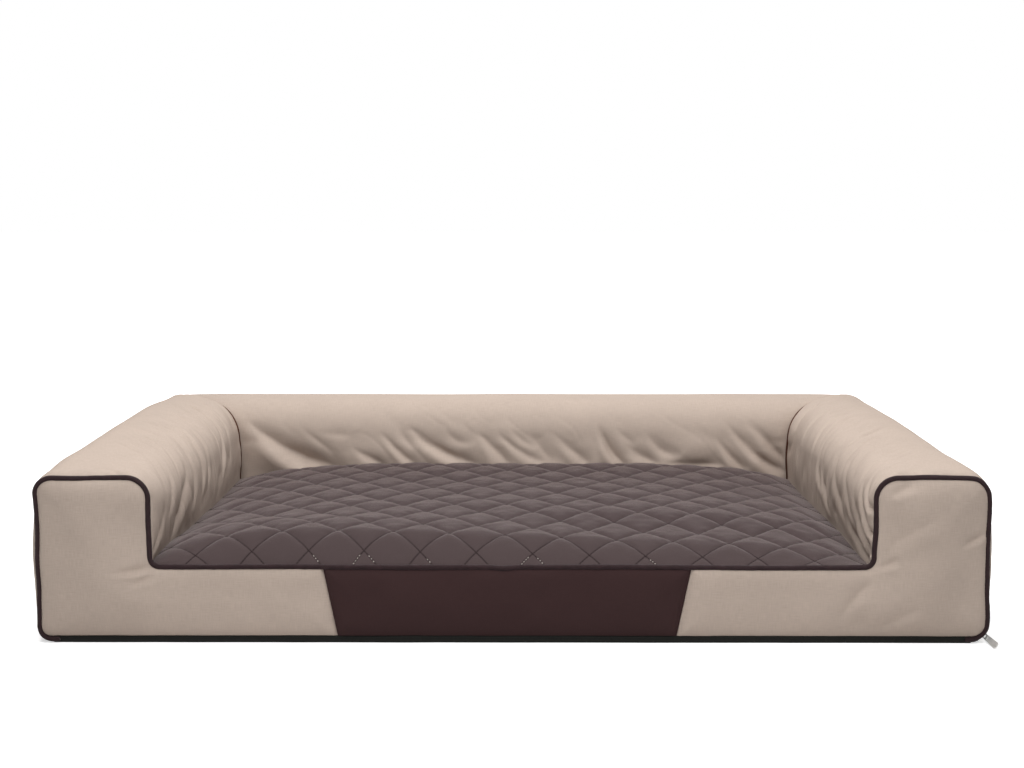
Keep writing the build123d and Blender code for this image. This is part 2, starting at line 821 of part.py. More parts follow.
def build_parts():
    """Every piece of the bed by its node's name."""
    right_cover = arm_cover()
    right_core = arm_core()
    return {
        "base_panel": base_panel(),
        "foam_base_slab": foam_slab(),
        "foam_topper": foam_topper(),
        "quilted_top": quilted_top(),
        "left_bolster_core": mirror(right_core, about=Plane.YZ),
        "right_bolster_core": right_core,
        "back_bolster_core": back_run(core_outline()),
        "left_bolster_cover": mirror(right_cover, about=Plane.YZ),
        "right_bolster_cover": right_cover - zip_window(),
        "back_bolster_cover": back_cover(),
        "front_panel_left": front_wing(-1),
        "front_panel_right": front_wing(1),
        "front_panel_insert": front_insert(),
        "front_piping": front_piping(),
        "front_piping_cord": piping_tube(piping_cord_diameter, piping_bore_facets),
        "zipper_tape_upper": zip_tape(-1),
        "zipper_tape_lower": zip_tape(1),
        "zipper_teeth_upper": zip_teeth(-1),
        "zipper_teeth_lower": zip_teeth(1),
        "zipper_top_stops": top_stops(),
        "zipper_bottom_stop": bottom_stop(),
        "zipper_slider": slider(),
        "zipper_pull": zip_pull(),
    }


def write_parts():
    """Write one STEP file for each piece, named after its node."""
    os.makedirs("parts", exist_ok=True)
    for name, shape in build_parts().items():
        export_step(shape, f"parts/{name}.step")


write_parts()
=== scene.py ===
import math
from collections import namedtuple

import bpy
import numpy as np
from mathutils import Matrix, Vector, geometry

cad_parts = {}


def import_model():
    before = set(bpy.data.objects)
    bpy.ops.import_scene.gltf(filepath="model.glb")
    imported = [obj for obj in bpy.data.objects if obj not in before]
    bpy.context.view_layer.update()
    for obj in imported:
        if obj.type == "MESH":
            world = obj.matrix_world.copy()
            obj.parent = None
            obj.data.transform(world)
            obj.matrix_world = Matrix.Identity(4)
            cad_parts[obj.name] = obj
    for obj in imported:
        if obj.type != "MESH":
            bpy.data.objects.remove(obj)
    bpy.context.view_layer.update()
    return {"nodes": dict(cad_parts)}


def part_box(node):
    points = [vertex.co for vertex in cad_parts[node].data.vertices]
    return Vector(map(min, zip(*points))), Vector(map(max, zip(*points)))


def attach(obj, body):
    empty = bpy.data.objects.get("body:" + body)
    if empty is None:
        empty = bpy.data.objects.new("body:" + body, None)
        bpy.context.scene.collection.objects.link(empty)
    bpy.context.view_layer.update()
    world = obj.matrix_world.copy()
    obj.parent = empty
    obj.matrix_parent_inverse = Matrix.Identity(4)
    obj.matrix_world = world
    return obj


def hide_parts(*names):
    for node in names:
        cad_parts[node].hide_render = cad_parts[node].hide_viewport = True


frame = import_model()

# An open-front dog bed: padded bolsters on three sides of a quilted mattress.
# Sizes are in millimetres and become metres where a mesh is made. X runs across the bed,
# Y from front to back and Z up, and the origin is the middle of the underside.
MM = 0.001

# Sizes of the bed between its seams, as the solids have them
bed_width = 1200.0
bed_depth = 800.0
bolster_width = 148.0
bottom_edge_radius = 19.0
front_lip_height = 101.0
base_rim_height = 8.5
half_width = bed_width / 2
front_y = -bed_depth / 2
back_y = bed_depth / 2

# Levels and planes read from the frame
piping_low, piping_high = (np.array(corner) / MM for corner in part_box("front_piping"))
slab_low, slab_high = (np.array(corner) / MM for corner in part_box("foam_base_slab"))
panel_low, panel_high = (np.array(corner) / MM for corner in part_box("front_panel_left"))
insert_low, insert_high = (np.array(corner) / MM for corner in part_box("front_panel_insert"))
zip_low, zip_high = (np.array(corner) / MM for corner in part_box("zipper_tape_upper"))
piping_radius = (piping_high[1] - piping_low[1]) / 2
piping_y = piping_low[1] + piping_radius
soft_clearance = 0.3
body_front_y = panel_high[1] + soft_clearance
tuck_z = slab_high[2] + soft_clearance


# Numbers over a surface. In a noise, a place is divided by the size of the grain in millimetres.

noise_cells = 64


def smooth_step(value, low, high):
    """Rises smoothly from 0 at low to 1 at high."""
    share = np.clip((value - low) / (high - low), 0, 1)
    return share * share * (3 - 2 * share)


def band(value, rise, fall):
    """Rises from 0 to 1 over one stretch and falls back to 0 over another."""
    return smooth_step(value, *rise) * (1 - smooth_step(value, *fall))


def fade(distance, reach):
    """Falls from 1 at no distance to a third at the reach."""
    return np.exp(-distance / reach)


def grow(distance, reach):
    """Rises from 0 at no distance to two thirds at the reach."""
    return 1 - fade(distance, reach)


def bell(offset, width, power=2):
    """A hump, 1 at no offset and a third at the width."""
    return np.exp(-((offset / width) ** power))


def soft_noise(u, v, seed):
    """Smooth noise from -1 to 1 over a surface, whose grain is one unit of u and v."""
    table = np.random.default_rng(seed).uniform(-1, 1, (noise_cells, noise_cells))
    u, v = np.broadcast_arrays(u, v)
    iu = np.floor(u).astype(int)
    iv = np.floor(v).astype(int)
    fu, fv = (share * share * (3 - 2 * share) for share in (u - iu, v - iv))
    row, next_row = iu % noise_cells, (iu + 1) % noise_cells
    near, far = (
        table[row, column % noise_cells] * (1 - fu) + table[next_row, column % noise_cells] * fu
        for column in (iv, iv + 1)
    )
    return near * (1 - fv) + far * fv


def layered_noise(u, v, seed, layers=2):
    """Smooth noise with finer and fainter layers over it."""
    total = sum(soft_noise(u * 2**k, v * 2**k, seed + k) / 2**k for k in range(layers))
    return total / (2 - 1 / 2 ** (layers - 1))


def unit(vectors):
    """Vectors made one unit long."""
    return vectors / np.linalg.norm(vectors, axis=-1, keepdims=True)


# Lines of points

curve_count = 40
corner_count = 16


def run_lengths(points):
    """Length along each line of points, from the line's first point."""
    steps = np.linalg.norm(np.diff(points, axis=-2), axis=-1)
    return np.concatenate([np.zeros_like(steps[..., :1]), np.cumsum(steps, axis=-1)], axis=-1)


def at_lengths(places, lengths, points):
    """Points of a line at some lengths along it."""
    return np.stack([np.interp(places, lengths, column) for column in points.T], axis=1)


def resample(points, count):
    """A line's points, spread evenly along it."""
    lengths = run_lengths(points)
    return at_lengths(np.linspace(0, lengths[-1], count), lengths, points)


def moving_weights(half, spacing, reach):
    """Weights of a moving average over a reach."""
    weights = np.exp(-0.5 * (np.arange(-half, half + 1) * spacing / reach) ** 2)
    return weights / weights.sum()


def soften(points, reach):
    """A line of evenly spread points with its corners eased over a reach, its ends kept."""
    spacing = np.linalg.norm(points[1] - points[0])
    half = int(3 * reach / spacing) + 1
    weights = moving_weights(half, spacing, reach)
    start = 2 * points[0] - points[half:0:-1]
    end = 2 * points[-1] - points[-2 : -half - 2 : -1]
    padded = np.concatenate([start, points, end])
    return np.stack([np.convolve(column, weights, "valid") for column in padded.T], axis=1)


def arc(centre, radius, start_degrees, end_degrees):
    """Points on an arc in a plane."""
    angles = np.radians(np.linspace(start_degrees, end_degrees, curve_count))
    return np.array(centre) + radius * np.stack([np.cos(angles), np.sin(angles)], axis=1)


def bowed(start, end, bow=0.0):
    """Points from start to end, bowed sideways along the first axis."""
    share = np.linspace(0, 1, curve_count)[:, None]
    line = np.array(start) * (1 - share) + np.array(end) * share
    line[:, 0] += bow * 4 * share[:, 0] * (1 - share[:, 0])
    return line


def around(sides):
    """Angles spread evenly round a circle."""
    return np.linspace(0, 2 * math.pi, sides, endpoint=False)


def rounded_path(corners, closed=False):
    """Points along a path through corners (x, z, radius), rounded at each."""
    count = len(corners)
    stretches = []
    for index, (x, z, radius) in enumerate(corners):
        point = np.array([x, z], float)
        at_end = not closed and index in (0, count - 1)
        if at_end or radius == 0:
            stretches.append(point[None, :])
            continue
        before = unit(np.array(corners[index - 1][:2], float) - point)
        after = unit(np.array(corners[(index + 1) % count][:2], float) - point)
        half_angle = math.acos(np.clip(before @ after, -1, 1)) / 2
        bisector = unit(before + after)
        centre = point + bisector * radius / math.sin(half_angle)
        start = point + before * radius / math.tan(half_angle) - centre
        end = point + after * radius / math.tan(half_angle) - centre
        first = math.atan2(start[1], start[0])
        turn = (math.atan2(end[1], end[0]) - first + math.pi) % (2 * math.pi) - math.pi
        angles = first + turn * np.linspace(0, 1, corner_count)
        stretches.append(centre + radius * np.stack([np.cos(angles), np.sin(angles)], axis=1))
    points = np.concatenate(stretches)
    return np.concatenate([points, points[:1]]) if closed else points


# Meshes

def grid_normals(points):
    """Unit normals of a grid of points, by rows and columns."""
    normals = np.cross(np.gradient(points, axis=1), np.gradient(points, axis=0))
    return normals / np.maximum(np.linalg.norm(normals, axis=2, keepdims=True), 1e-9)


def grid_faces(rows, columns, closed=False, flip=False):
    """Quads of a grid whose columns may close into a ring."""
    index = np.arange(rows * columns).reshape(rows, columns)
    if closed:
        index = np.concatenate([index, index[:, :1]], axis=1)
    quads = np.stack([index[:-1, :-1], index[:-1, 1:], index[1:, 1:], index[1:, :-1]], axis=-1)
    quads = quads.reshape(-1, 4)
    return quads[:, ::-1] if flip else quads


def tube_faces(rows, columns, flip=False):
    """Quads of a grid closed into a tube, with a face over each end."""
    faces = grid_faces(rows, columns, closed=True, flip=flip).tolist()
    return faces + [list(range(columns)), list(range((rows - 1) * columns, rows * columns))[::-1]]


def linked(name, data):
    """A new object in the scene."""
    piece = bpy.data.objects.new(name, data)
    bpy.context.scene.collection.objects.link(piece)
    return piece


def mesh_piece(name, points, faces, coords=None):
    """A smooth-shaded mesh object from points in millimetres, with coordinates for its weave."""
    mesh = bpy.data.meshes.new(name)
    mesh.from_pydata((np.asarray(points) * MM).tolist(), [], [list(map(int, face)) for face in faces])
    mesh.polygons.foreach_set("use_smooth", np.ones(len(mesh.polygons), bool))
    if coords is not None:
        layer = mesh.uv_layers.new(name="cloth")
        corners = np.zeros(len(mesh.loops), int)
        mesh.loops.foreach_get("vertex_index", corners)
        layer.data.foreach_set("uv", np.asarray(coords)[corners].astype(np.float32).ravel())
    mesh.update()
    return linked(name, mesh)


def grid_piece(name, points, u, v, thickness=None, flip=False):
    """Cloth from a grid of points and its coordinates at each, thickened inwards if it has a thickness."""
    coords = np.stack(np.broadcast_arrays(u, v), axis=2).reshape(-1, 2)
    faces = grid_faces(*points.shape[:2], flip=flip)
    piece = mesh_piece(name, points.reshape(-1, 3), faces, coords)
    if thickness:
        solidify = piece.modifiers.new("thickness", "SOLIDIFY")
        solidify.thickness = thickness * MM
        solidify.offset = -1
        solidify.use_even_offset = False
    return piece


def tube_piece(name, rings, lengths, girth):
    """A closed tube from its rings."""
    count, sides = rings.shape[:2]
    coords = np.stack(np.meshgrid(np.arange(sides) / sides * girth, lengths), axis=2)
    return mesh_piece(name, rings.reshape(-1, 3), tube_faces(count, sides, flip=True), coords.reshape(-1, 2))


def dress(piece, material, slot, *nodes, body="bed", fill=None):
    """Material, body and the CAD nodes that a piece stands for; the slot is not used."""
    piece.data.materials.append(material)
    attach(piece, body)
    if nodes:
        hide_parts(*nodes)


# Materials. A noise is scaled by one over the size of its grain.

yarn_length = 14
cloud_size = 70
fibre_size = 2.2
rib_pitch = 1.1
dot_pitch = 6.0
# Painted shade along the quilt's sewn lines: how dark it is, and where it starts and ends
groove_painted_shade = 0.55
groove_shade_start = 0.2
groove_shade_reach = 2.0
diamond_width = 73.5
diamond_length = 98.0
diamond_origin = (-9.0, -28.0)
line_spacing = 1 / math.hypot(1 / diamond_width, 1 / diamond_length)


def linear(*srgb):
    """A colour for a shader from sRGB values out of 255."""
    shares = [value / 255 for value in srgb]
    return tuple([(s / 12.92 if s <= 0.04045 else ((s + 0.055) / 1.055) ** 2.4) for s in shares] + [1])


def shade(colour, factor):
    """A colour made lighter or darker."""
    return tuple([min(1, channel * factor) for channel in colour[:3]] + [1])


white = (1, 1, 1, 1)


class Tree:
    """A node tree with short ways to add and join nodes."""

    def __init__(self, tree):
        self.tree = tree

    def add(self, kind, **settings):
        """A new node, with its properties or its inputs set by name."""
        node = self.tree.nodes.new("ShaderNode" + kind)
        for key, value in settings.items():
            if hasattr(node, key):
                setattr(node, key, value)
            else:
                node.inputs[key.replace("_", " ")].default_value = value
        return node

    def join(self, source, target):
        """Joins an output to an input."""
        self.tree.links.new(source, target)

    def math(self, operation, *values):
        """The output of a math node on sockets or numbers."""
        node = self.add("Math", operation=operation)
        for value, socket in zip(values, node.inputs):
            if isinstance(value, (int, float)):
                socket.default_value = value
            else:
                self.join(value, socket)
        return node.outputs[0]

    def spread(self, value, low, high, start=0.0, end=1.0):
        """A number that goes from low to high as the value goes from start to end."""
        node = self.add("MapRange", From_Min=start, From_Max=end, To_Min=low, To_Max=high)
        self.join(value, node.inputs["Value"])
        return node.outputs["Result"]

    def seen(self):
        """1 for rays from the camera, in reflections and through glass."""
        rays = self.add("LightPath").outputs
        seen = self.math("MAXIMUM", rays["Is Camera Ray"], rays["Is Glossy Ray"])
        return self.math("MAXIMUM", seen, rays["Is Transmission Ray"])


class Nodes(Tree):
    """A material's nodes, on coordinates over the cloth (UV) or in the object's space (Object)."""

    def __init__(self, name, roughness, specular=0.5, metallic=0.0, sheen=0.0, coords="Object"):
        self.material = bpy.data.materials.new(name)
        self.material.use_nodes = True
        super().__init__(self.material.node_tree)
        self.shader = self.tree.nodes["Principled BSDF"]
        self.shader.inputs["Roughness"].default_value = roughness
        self.shader.inputs["Specular IOR Level"].default_value = specular
        self.shader.inputs["Metallic"].default_value = metallic
        self.shader.inputs["Sheen Weight"].default_value = sheen
        self.coords = self.add("TexCoord").outputs[coords]

    def axes(self):
        """The first two coordinates, one by one."""
        node = self.add("SeparateXYZ")
        self.join(self.coords, node.inputs[0])
        return node.outputs[0], node.outputs[1]

    def noise(self, scale, detail, stretch=(1, 1, 1)):
        """Noise from 0 to 1, its scale stretched along each axis."""
        mapping = self.add("Mapping", Scale=stretch)
        self.join(self.coords, mapping.inputs["Vector"])
        node = self.add("TexNoise", Scale=scale, Detail=detail)
        self.join(mapping.outputs["Vector"], node.inputs["Vector"])
        return node.outputs["Fac"]

    def cells(self, size, randomness=1.0):
        """Distance from the middle of the nearest of many cells."""
        node = self.add("TexVoronoi", Scale=1 / (size * MM), Randomness=randomness)
        self.join(self.coords, node.inputs["Vector"])
        return node.outputs["Distance"]

    def ramp(self, factor, low, high, start=0.3, end=0.7):
        """A colour from low to high as the factor goes from start to end."""
        node = self.add("ValToRGB")
        first, last = node.color_ramp.elements
        first.position, first.color = start, low
        last.position, last.color = end, high
        self.join(factor, node.inputs["Fac"])
        return node.outputs["Color"]

    def multiply(self, first, second):
        """Two colours multiplied."""
        node = self.add("Mix", data_type="RGBA", blend_type="MULTIPLY")
        node.inputs["Factor"].default_value = 1.0
        self.join(first, node.inputs["A"])
        self.join(second, node.inputs["B"])
        return node.outputs["Result"]

    def colour(self, output):
        """Joins the base colour."""
        self.join(output, self.shader.inputs["Base Color"])

    def bump(self, height, distance, strength, below=None):
        """Adds a bump, over an earlier one if given, and returns its normal."""
        node = self.add("Bump", Strength=strength, Distance=distance * MM)
        self.join(height, node.inputs["Height"])
        if below is not None:
            self.join(below, node.inputs["Normal"])
        self.join(node.outputs["Normal"], self.shader.inputs["Normal"])
        return node.outputs["Normal"]


def woven(name, colour, thread_pitch, sheen=0.03, contrast=0.02, relief=0.05, sewn=None, glow=None):
    """Plain woven cloth: warp and weft threads, uneven yarns and faint cloudiness."""
    nodes = Nodes(name, 0.85, specular=0.06, sheen=sheen, coords="UV")
    axes = nodes.axes()
    turn = 2 * math.pi / thread_pitch
    threads = [nodes.math("SINE", nodes.math("MULTIPLY", axis, turn)) for axis in axes]
    weave = nodes.math("MULTIPLY", *threads)
    yarns_along = nodes.noise(1.0, 1.0, (1 / yarn_length, 1 / thread_pitch, 1))
    yarns_across = nodes.noise(1.0, 1.0, (1 / thread_pitch, 1 / yarn_length, 1))
    yarns = nodes.math("MULTIPLY", nodes.math("ADD", yarns_along, yarns_across), 0.5)
    clouds = nodes.noise(1.0, 3.0, (1 / cloud_size, 1 / cloud_size, 1))
    change = 2.2 * contrast
    cloth_colour = nodes.multiply(
        nodes.ramp(yarns, shade(colour, 1 - change), shade(colour, 1 + change)),
        nodes.ramp(clouds, shade(white, 1 - contrast), white, 0.35, 0.65),
    )
    # Painted shade along the quilt's sewn lines, when given
    if sewn is not None:
        cloth_colour = nodes.multiply(cloth_colour, sewn(nodes, *axes))
    nodes.colour(cloth_colour)
    below = nodes.bump(nodes.noise(1.0, 4.0, (1 / fibre_size, 1 / fibre_size, 1)), 0.25, 0.5)
    nodes.bump(nodes.math("ADD", nodes.math("MULTIPLY", weave, 0.5), yarns), relief, 0.8, below)
    nodes.shader.inputs["Sheen Roughness"].default_value = 0.3
    nodes.shader.inputs["Sheen Tint"].default_value = glow or shade(colour, 1.6)
    return nodes.material


def quilting_line_shade(nodes, u, v):
    """A painted shade that darkens the cloth along the quilt's sewn lines, standing in for the grooves'
    shadow.
    """
    across = nodes.math("DIVIDE", nodes.math("SUBTRACT", u, diamond_origin[0]), diamond_width)
    along = nodes.math("DIVIDE", nodes.math("SUBTRACT", v, diamond_origin[1]), diamond_length)
    places = [nodes.math(operation, across, along) for operation in ("ADD", "SUBTRACT")]
    nearest = nodes.math("MINIMUM", *[nodes.math("PINGPONG", place, 0.5) for place in places])
    start, end = groove_shade_start / line_spacing, groove_shade_reach / line_spacing
    return nodes.ramp(nearest, shade(white, groove_painted_shade), white, start, end)


def bias_tape(name, colour):
    """Cloth cut across its threads, so that its fine ribs run aslant round the piping."""
    nodes = Nodes(name, 0.6, specular=0.1, sheen=0.04, coords="UV")
    slant = nodes.math("ADD", *nodes.axes())
    wear = nodes.noise(1.0, 3.0, (1 / 9, 1 / 9, 1))
    nodes.colour(nodes.ramp(wear, shade(colour, 0.82), shade(colour, 1.2)))
    nodes.bump(nodes.math("SINE", nodes.math("MULTIPLY", slant, 2 * math.pi / rib_pitch)), 0.12, 0.7)
    return nodes.material


def foam(name, colour, pore):
    """Open-cell foam: many small pores."""
    nodes = Nodes(name, 0.95, specular=0.1)
    pores = nodes.cells(pore)
    nodes.colour(nodes.ramp(pores, shade(colour, 0.8), colour, 0.05, 0.45))
    nodes.bump(pores, 0.5, 0.8)
    return nodes.material


def non_slip(name, colour):
    """Coated base cloth with rows of small rubber dots."""
    nodes = Nodes(name, 0.7, specular=0.12)
    dots = nodes.math("SMOOTH_MIN", nodes.cells(dot_pitch, randomness=0.0), 0.32)
    grain = nodes.noise(900, 2.0)
    nodes.colour(nodes.ramp(grain, shade(colour, 0.7), shade(colour, 1.35)))
    nodes.bump(nodes.math("MULTIPLY", dots, -1), 0.9, 0.6, nodes.bump(grain, 0.15, 0.5))
    return nodes.material


def metal(name, colour, roughness):
    """Plated die-cast metal with fine scratches and dull patches."""
    nodes = Nodes(name, roughness, metallic=0.6)
    patches = nodes.noise(300, 3.0)
    nodes.colour(nodes.ramp(patches, shade(colour, 0.93), shade(colour, 1.04)))
    nodes.bump(nodes.noise(900, 2.0, (1, 0.08, 1)), 0.03, 0.5)
    dull = nodes.spread(patches, roughness - 0.06, roughness + 0.12, 0.3, 0.7)
    nodes.join(dull, nodes.shader.inputs["Roughness"])
    return nodes.material


def moulded(name, colour):
    """Moulded plastic with a fine grain."""
    nodes = Nodes(name, 0.4)
    grain = nodes.noise(700, 3.0)
    nodes.colour(nodes.ramp(grain, shade(colour, 0.85), shade(colour, 1.15)))
    nodes.bump(grain, 0.05, 0.5)
    return nodes.material


def loose_fibres(name, colour):
    """Loose fibre filling."""
    nodes = Nodes(name, 0.95, specular=0.1, sheen=0.4)
    strands = nodes.noise(120, 8.0)
    nodes.colour(nodes.ramp(strands, shade(colour, 0.85), colour, 0.35, 0.6))
    nodes.bump(strands, 4.0, 0.7)
    return nodes.material


cloth_pitch = 0.9
sewing_pitch = 0.5
beige_cloth = woven("beige_cloth", linear(183, 167, 155), cloth_pitch, contrast=0.035)
dark_cloth = woven("dark_cloth", linear(60, 43, 43), cloth_pitch, sheen=0.05)
quilt_cloth = woven("quilt_cloth", linear(71, 60, 60), cloth_pitch, sheen=1.0, sewn=quilting_line_shade,
                    glow=linear(226, 214, 212))
piping_cloth = bias_tape("piping_cloth", linear(44, 30, 32))
cord_cotton = woven("cord_cotton", linear(225, 220, 210), 1.4)
base_cloth = non_slip("base_cloth", linear(25, 25, 23))
tape_cloth = woven("tape_cloth", linear(150, 134, 122), 1.2, contrast=0.08, relief=0.15)
thread = woven("thread", linear(48, 36, 37), sewing_pitch)
beige_thread = woven("beige_thread", linear(196, 180, 166), sewing_pitch)
# Colour of the dark corner cords: painted shadow in the corner seams
seam_thread = woven("seam_thread", linear(82, 54, 44), sewing_pitch)
pale_thread = woven("pale_thread", linear(215, 205, 196), sewing_pitch)
slab_foam = foam("slab_foam", linear(226, 224, 214), 2.2)
topper_foam = foam("topper_foam", linear(238, 224, 180), 1.2)
core_fibres = loose_fibres("core_fibres", linear(240, 240, 236))
zip_metal = metal("zip_metal", linear(230, 230, 228), 0.38)
zip_plastic = moulded("zip_plastic", linear(52, 42, 40))


# Folds: each runs between two places on a cloth, given in the cloth's own coordinates

Fold = namedtuple("Fold", "start end depth width bend")
Dent = namedtuple("Dent", "place depth reach")
crease_lead = 0.14
crease_span = 1.34
crease_rounding = 1.2
crease_power = 1.25
crease_above = 1.3
crease_below = 0.7
swell_offset = 2.2
swell_width = 1.4
swell_rise = 0.4


def crease_relief(u, v, fold, late=1.5):
    """A deep crease: the cloth turns under above it over a broad band, and swells out below it."""
    du = fold.end[0] - fold.start[0]
    dv = fold.end[1] - fold.start[1]
    length = math.hypot(du, dv)
    along = ((u - fold.start[0]) * du + (v - fold.start[1]) * dv) / length**2
    across = ((u - fold.start[0]) * dv - (v - fold.start[1]) * du) / length
    across = across - fold.bend * 4 * along * (1 - along)
    inside = np.clip((along + crease_lead) / crease_span, 0, 1)
    width = fold.width * (0.6 + 0.6 * inside)
    distance = np.sqrt(across**2 + crease_rounding**2) - crease_rounding
    crease = bell(distance, width * np.where(across < 0, crease_above, crease_below), crease_power)
    swell = bell(across - swell_offset * width, swell_width * width)
    return fold.depth * np.sin(math.pi * inside**late) * (swell_rise * swell - crease)


def dent_relief(u, v, dent):
    """A shallow hollow round a place, or a puff where its depth is negative."""
    du = (u - dent.place[0]) / dent.reach[0]
    dv = (v - dent.place[1]) / dent.reach[1]
    return -dent.depth * np.exp(-0.5 * (du**2 + dv**2))


# Front outline in (x, z), shared by the piping, the panels and the covers' front edges

outline_side = half_width - piping_radius
outline_inner = half_width - bolster_width + piping_radius
outline_top = piping_high[2] - piping_radius
outline_lip = front_lip_height - piping_radius
outline_floor = piping_low[2] + piping_radius
piping_tail = 6.0
piping_spacing = 1.6
outer_bottom_radius = 19.0
arm_end = [
    (outline_side, outline_top, 21.0),
    (outline_inner, outline_top, 27.0),
    (outline_inner, outline_lip, 13.0),
]

# Unevenness of the sewn front edge: place (x, z), shift (x, z) and reach
Wobble = namedtuple("Wobble", "place shift reach")
front_wobbles = [
    Wobble((596, 205), (-1.6, -2.2), 12),
    Wobble((596, 176), (0.8, 0), 20),
    Wobble((596, 80), (0.9, 0), 22),
    Wobble((596, 32), (3.0, 0), 18),
    Wobble((520, 212), (0, 1.0), 22),
    Wobble((455, 150), (1.0, 0), 20),
    Wobble((455, 118), (-0.8, 0), 12),
    Wobble((-596, 200), (-0.8, 0), 12),
    Wobble((-596, 145), (1.2, 0), 20),
    Wobble((-596, 104), (-0.6, 0), 14),
    Wobble((-596, 72), (0.9, 0), 16),
    Wobble((-545, 211), (0, -0.9), 24),
    Wobble((-455, 160), (-0.8, 0), 20),
    Wobble((-592, 8), (-1.6, -1.2), 9),
    Wobble((-10, 97), (0, -1.5), 7),
    Wobble((-300, 97), (0, 0.8), 40),
    Wobble((120, 97), (0, 0.7), 45),
    Wobble((330, 97), (0, -0.7), 35),
]


def wobbled(x, z):
    """Front places shifted by the unevenness of the sewn edge."""
    shift_x = np.zeros_like(x, float)
    shift_z = np.zeros_like(z, float)
    for wobble in front_wobbles:
        distance = (x - wobble.place[0]) ** 2 + (z - wobble.place[1]) ** 2
        share = np.exp(-0.5 * distance / wobble.reach**2)
        shift_x += wobble.shift[0] * share
        shift_z += wobble.shift[1] * share
    return x + shift_x, z + shift_z


def mirrored(corners, side):
    """Corners of the right side, or of the left one for a side of -1."""
    return [(side * x, z, radius) for x, z, radius in corners]


def front_line():
    """The piping's centre line in (x, z), from the left bottom corner to the right one."""
    tail_x = outline_side - outer_bottom_radius - piping_tail
    half = [(tail_x, outline_floor, 0), (outline_side, outline_floor, outer_bottom_radius)] + arm_end
    line = rounded_path(mirrored(half, -1) + half[::-1])
    line = resample(line, int(run_lengths(line)[-1] / piping_spacing))
    return np.stack(wobbled(line[:, 0], line[:, 1]), axis=1)


# Bolsters: the squarer section at the front cap, the swell behind the piping, the full run

BolsterSection = namedtuple(
    "BolsterSection", "height drop outer_radius inner_radius side_bulge inner_bulge width foot"
)
cap_section = BolsterSection(215, 0, 24.5, 30.5, 0, 0, 148, 148)
swell_section = BolsterSection(217.5, 0.4, 28, 42, 6.4, 3.0, 150, 139)
run_section = BolsterSection(219, 2.6, 36, 58, 4.6, 2.5, 149, 149)
swell_end = 13.0
run_start = 120.0
foot_run_start = 500.0
inner_leg_height = 96.0
hem_degrees = 212.5
profile_fine_count = 400
profile_rounding = 5.0
profile_count = 150
cover_thickness = 1.6
cover_fills = {"arm": 0.95, "back": 0.9}

# The cover's seams: how far it is drawn in at the piping and at the corners
seam_inset = 2.6
seam_reach = 3.6
seam_depth = 2.8
seam_fold_reach = 12
seam_flat = 9

# Stretches of length up from the tuck, or of distance behind the front
arm_inner_face = (30, 60), (175, 240)
back_inner_face = (30, 55), (110, 170)
outer_face = (290, 330)
outer_foot = (340, 460)
above_hem = (4, 46)
arm_middle = (8, 120), (560, 770)
arm_swell_t = 285
arm_swell_width = 62


def blend(cap, swell, run, distance, full_run):
    """Goes from the cap's value over the swell's to the run's, by distance behind the front edge."""
    to_swell = smooth_step(distance, 0, swell_end)
    to_run = smooth_step(distance, swell_end, full_run)
    return cap + (swell - cap) * to_swell + (run - swell) * to_run


def foot_width(distance):
    """The bolster's width at the mattress, which grows slowly towards the back."""
    return blend(cap_section.foot, swell_section.foot, run_section.foot, distance, foot_run_start)


def section_at(distance):
    """The bolster's section at a distance behind the cover's front edge."""
    values = [np.array(section) for section in (cap_section, swell_section, run_section)]
    return BolsterSection(*blend(*values, distance, run_start))._replace(foot=foot_width(distance))


def bolster_profile(section, inset=0.0):
    """Points in (inward, up) from the tuck at the mattress over the crown to the hem."""
    shoulder = section.height - section.drop
    inner_centre = (section.width - section.inner_radius, shoulder - section.inner_radius)
    outer_centre = (section.outer_radius, shoulder - section.outer_radius)
    crown = bowed((inner_centre[0], shoulder), (outer_centre[0], shoulder))
    crown[:, 1] += section.drop * np.sin(np.linspace(0, math.pi, len(crown)))
    line = np.concatenate([
        bowed((section.foot, tuck_z), (section.foot, inner_leg_height)),
        bowed((section.foot, inner_leg_height), (section.width, inner_centre[1]), section.inner_bulge),
        arc(inner_centre, section.inner_radius, 0, 90),
        crown,
        arc(outer_centre, section.outer_radius, 90, 180),
        bowed((0, outer_centre[1]), (0, bottom_edge_radius), -section.side_bulge),
        arc((bottom_edge_radius, bottom_edge_radius), bottom_edge_radius, 180, hem_degrees),
    ])
    line = soften(resample(line, profile_fine_count), profile_rounding)
    if inset > 0:
        slope = unit(np.gradient(line, axis=0))
        line = line + inset * np.stack([-slope[:, 1], slope[:, 0]], axis=1)
    return resample(line, profile_count)


def seam_puckers(to_seam, t, seed):
    """The small puckers and longer pulls beside a corner seam."""
    puckers = soft_noise(t / 9, to_seam / 40, seed) * fade(to_seam, 16)
    pulls = soft_noise(t / 26, to_seam / 90, seed + 1) * fade(to_seam, 45)
    return 0.9 * puckers + 1.1 * pulls


def sewn_relief(relief, along, t, to_seam, seed):
    """Adds an outer face's waves and hem draws to a relief, and turns it in at the corner seam."""
    waves = layered_noise(along / 70, t / 90, seed)
    draws = layered_noise(along / 24, t / 120, seed + 60)
    outer = 2.2 * waves + 1.8 * draws * smooth_step(t, *outer_foot)
    outer = outer * smooth_step(t[:, -1:] - t, *above_hem)
    relief = relief + outer * smooth_step(t, *outer_face)
    dip = -seam_depth * fade(to_seam, 3.0) - seam_depth * fade(to_seam, 16)
    return relief * smooth_step(to_seam, 0, seam_flat) + dip


def raise_cover(points, normals, relief, to_seam, axis):
    """Raises a cover's relief, and near the corner seam moves it along the seam's own plane."""
    raised = points + normals * relief[:, :, None]
    outwards = normals[:, :, 1 - axis] * np.sign(points[:, :, 1 - axis])
    raised[:, :, axis] += outwards * relief * np.sign(points[:, :, axis]) * fade(to_seam, seam_fold_reach)
    return raised


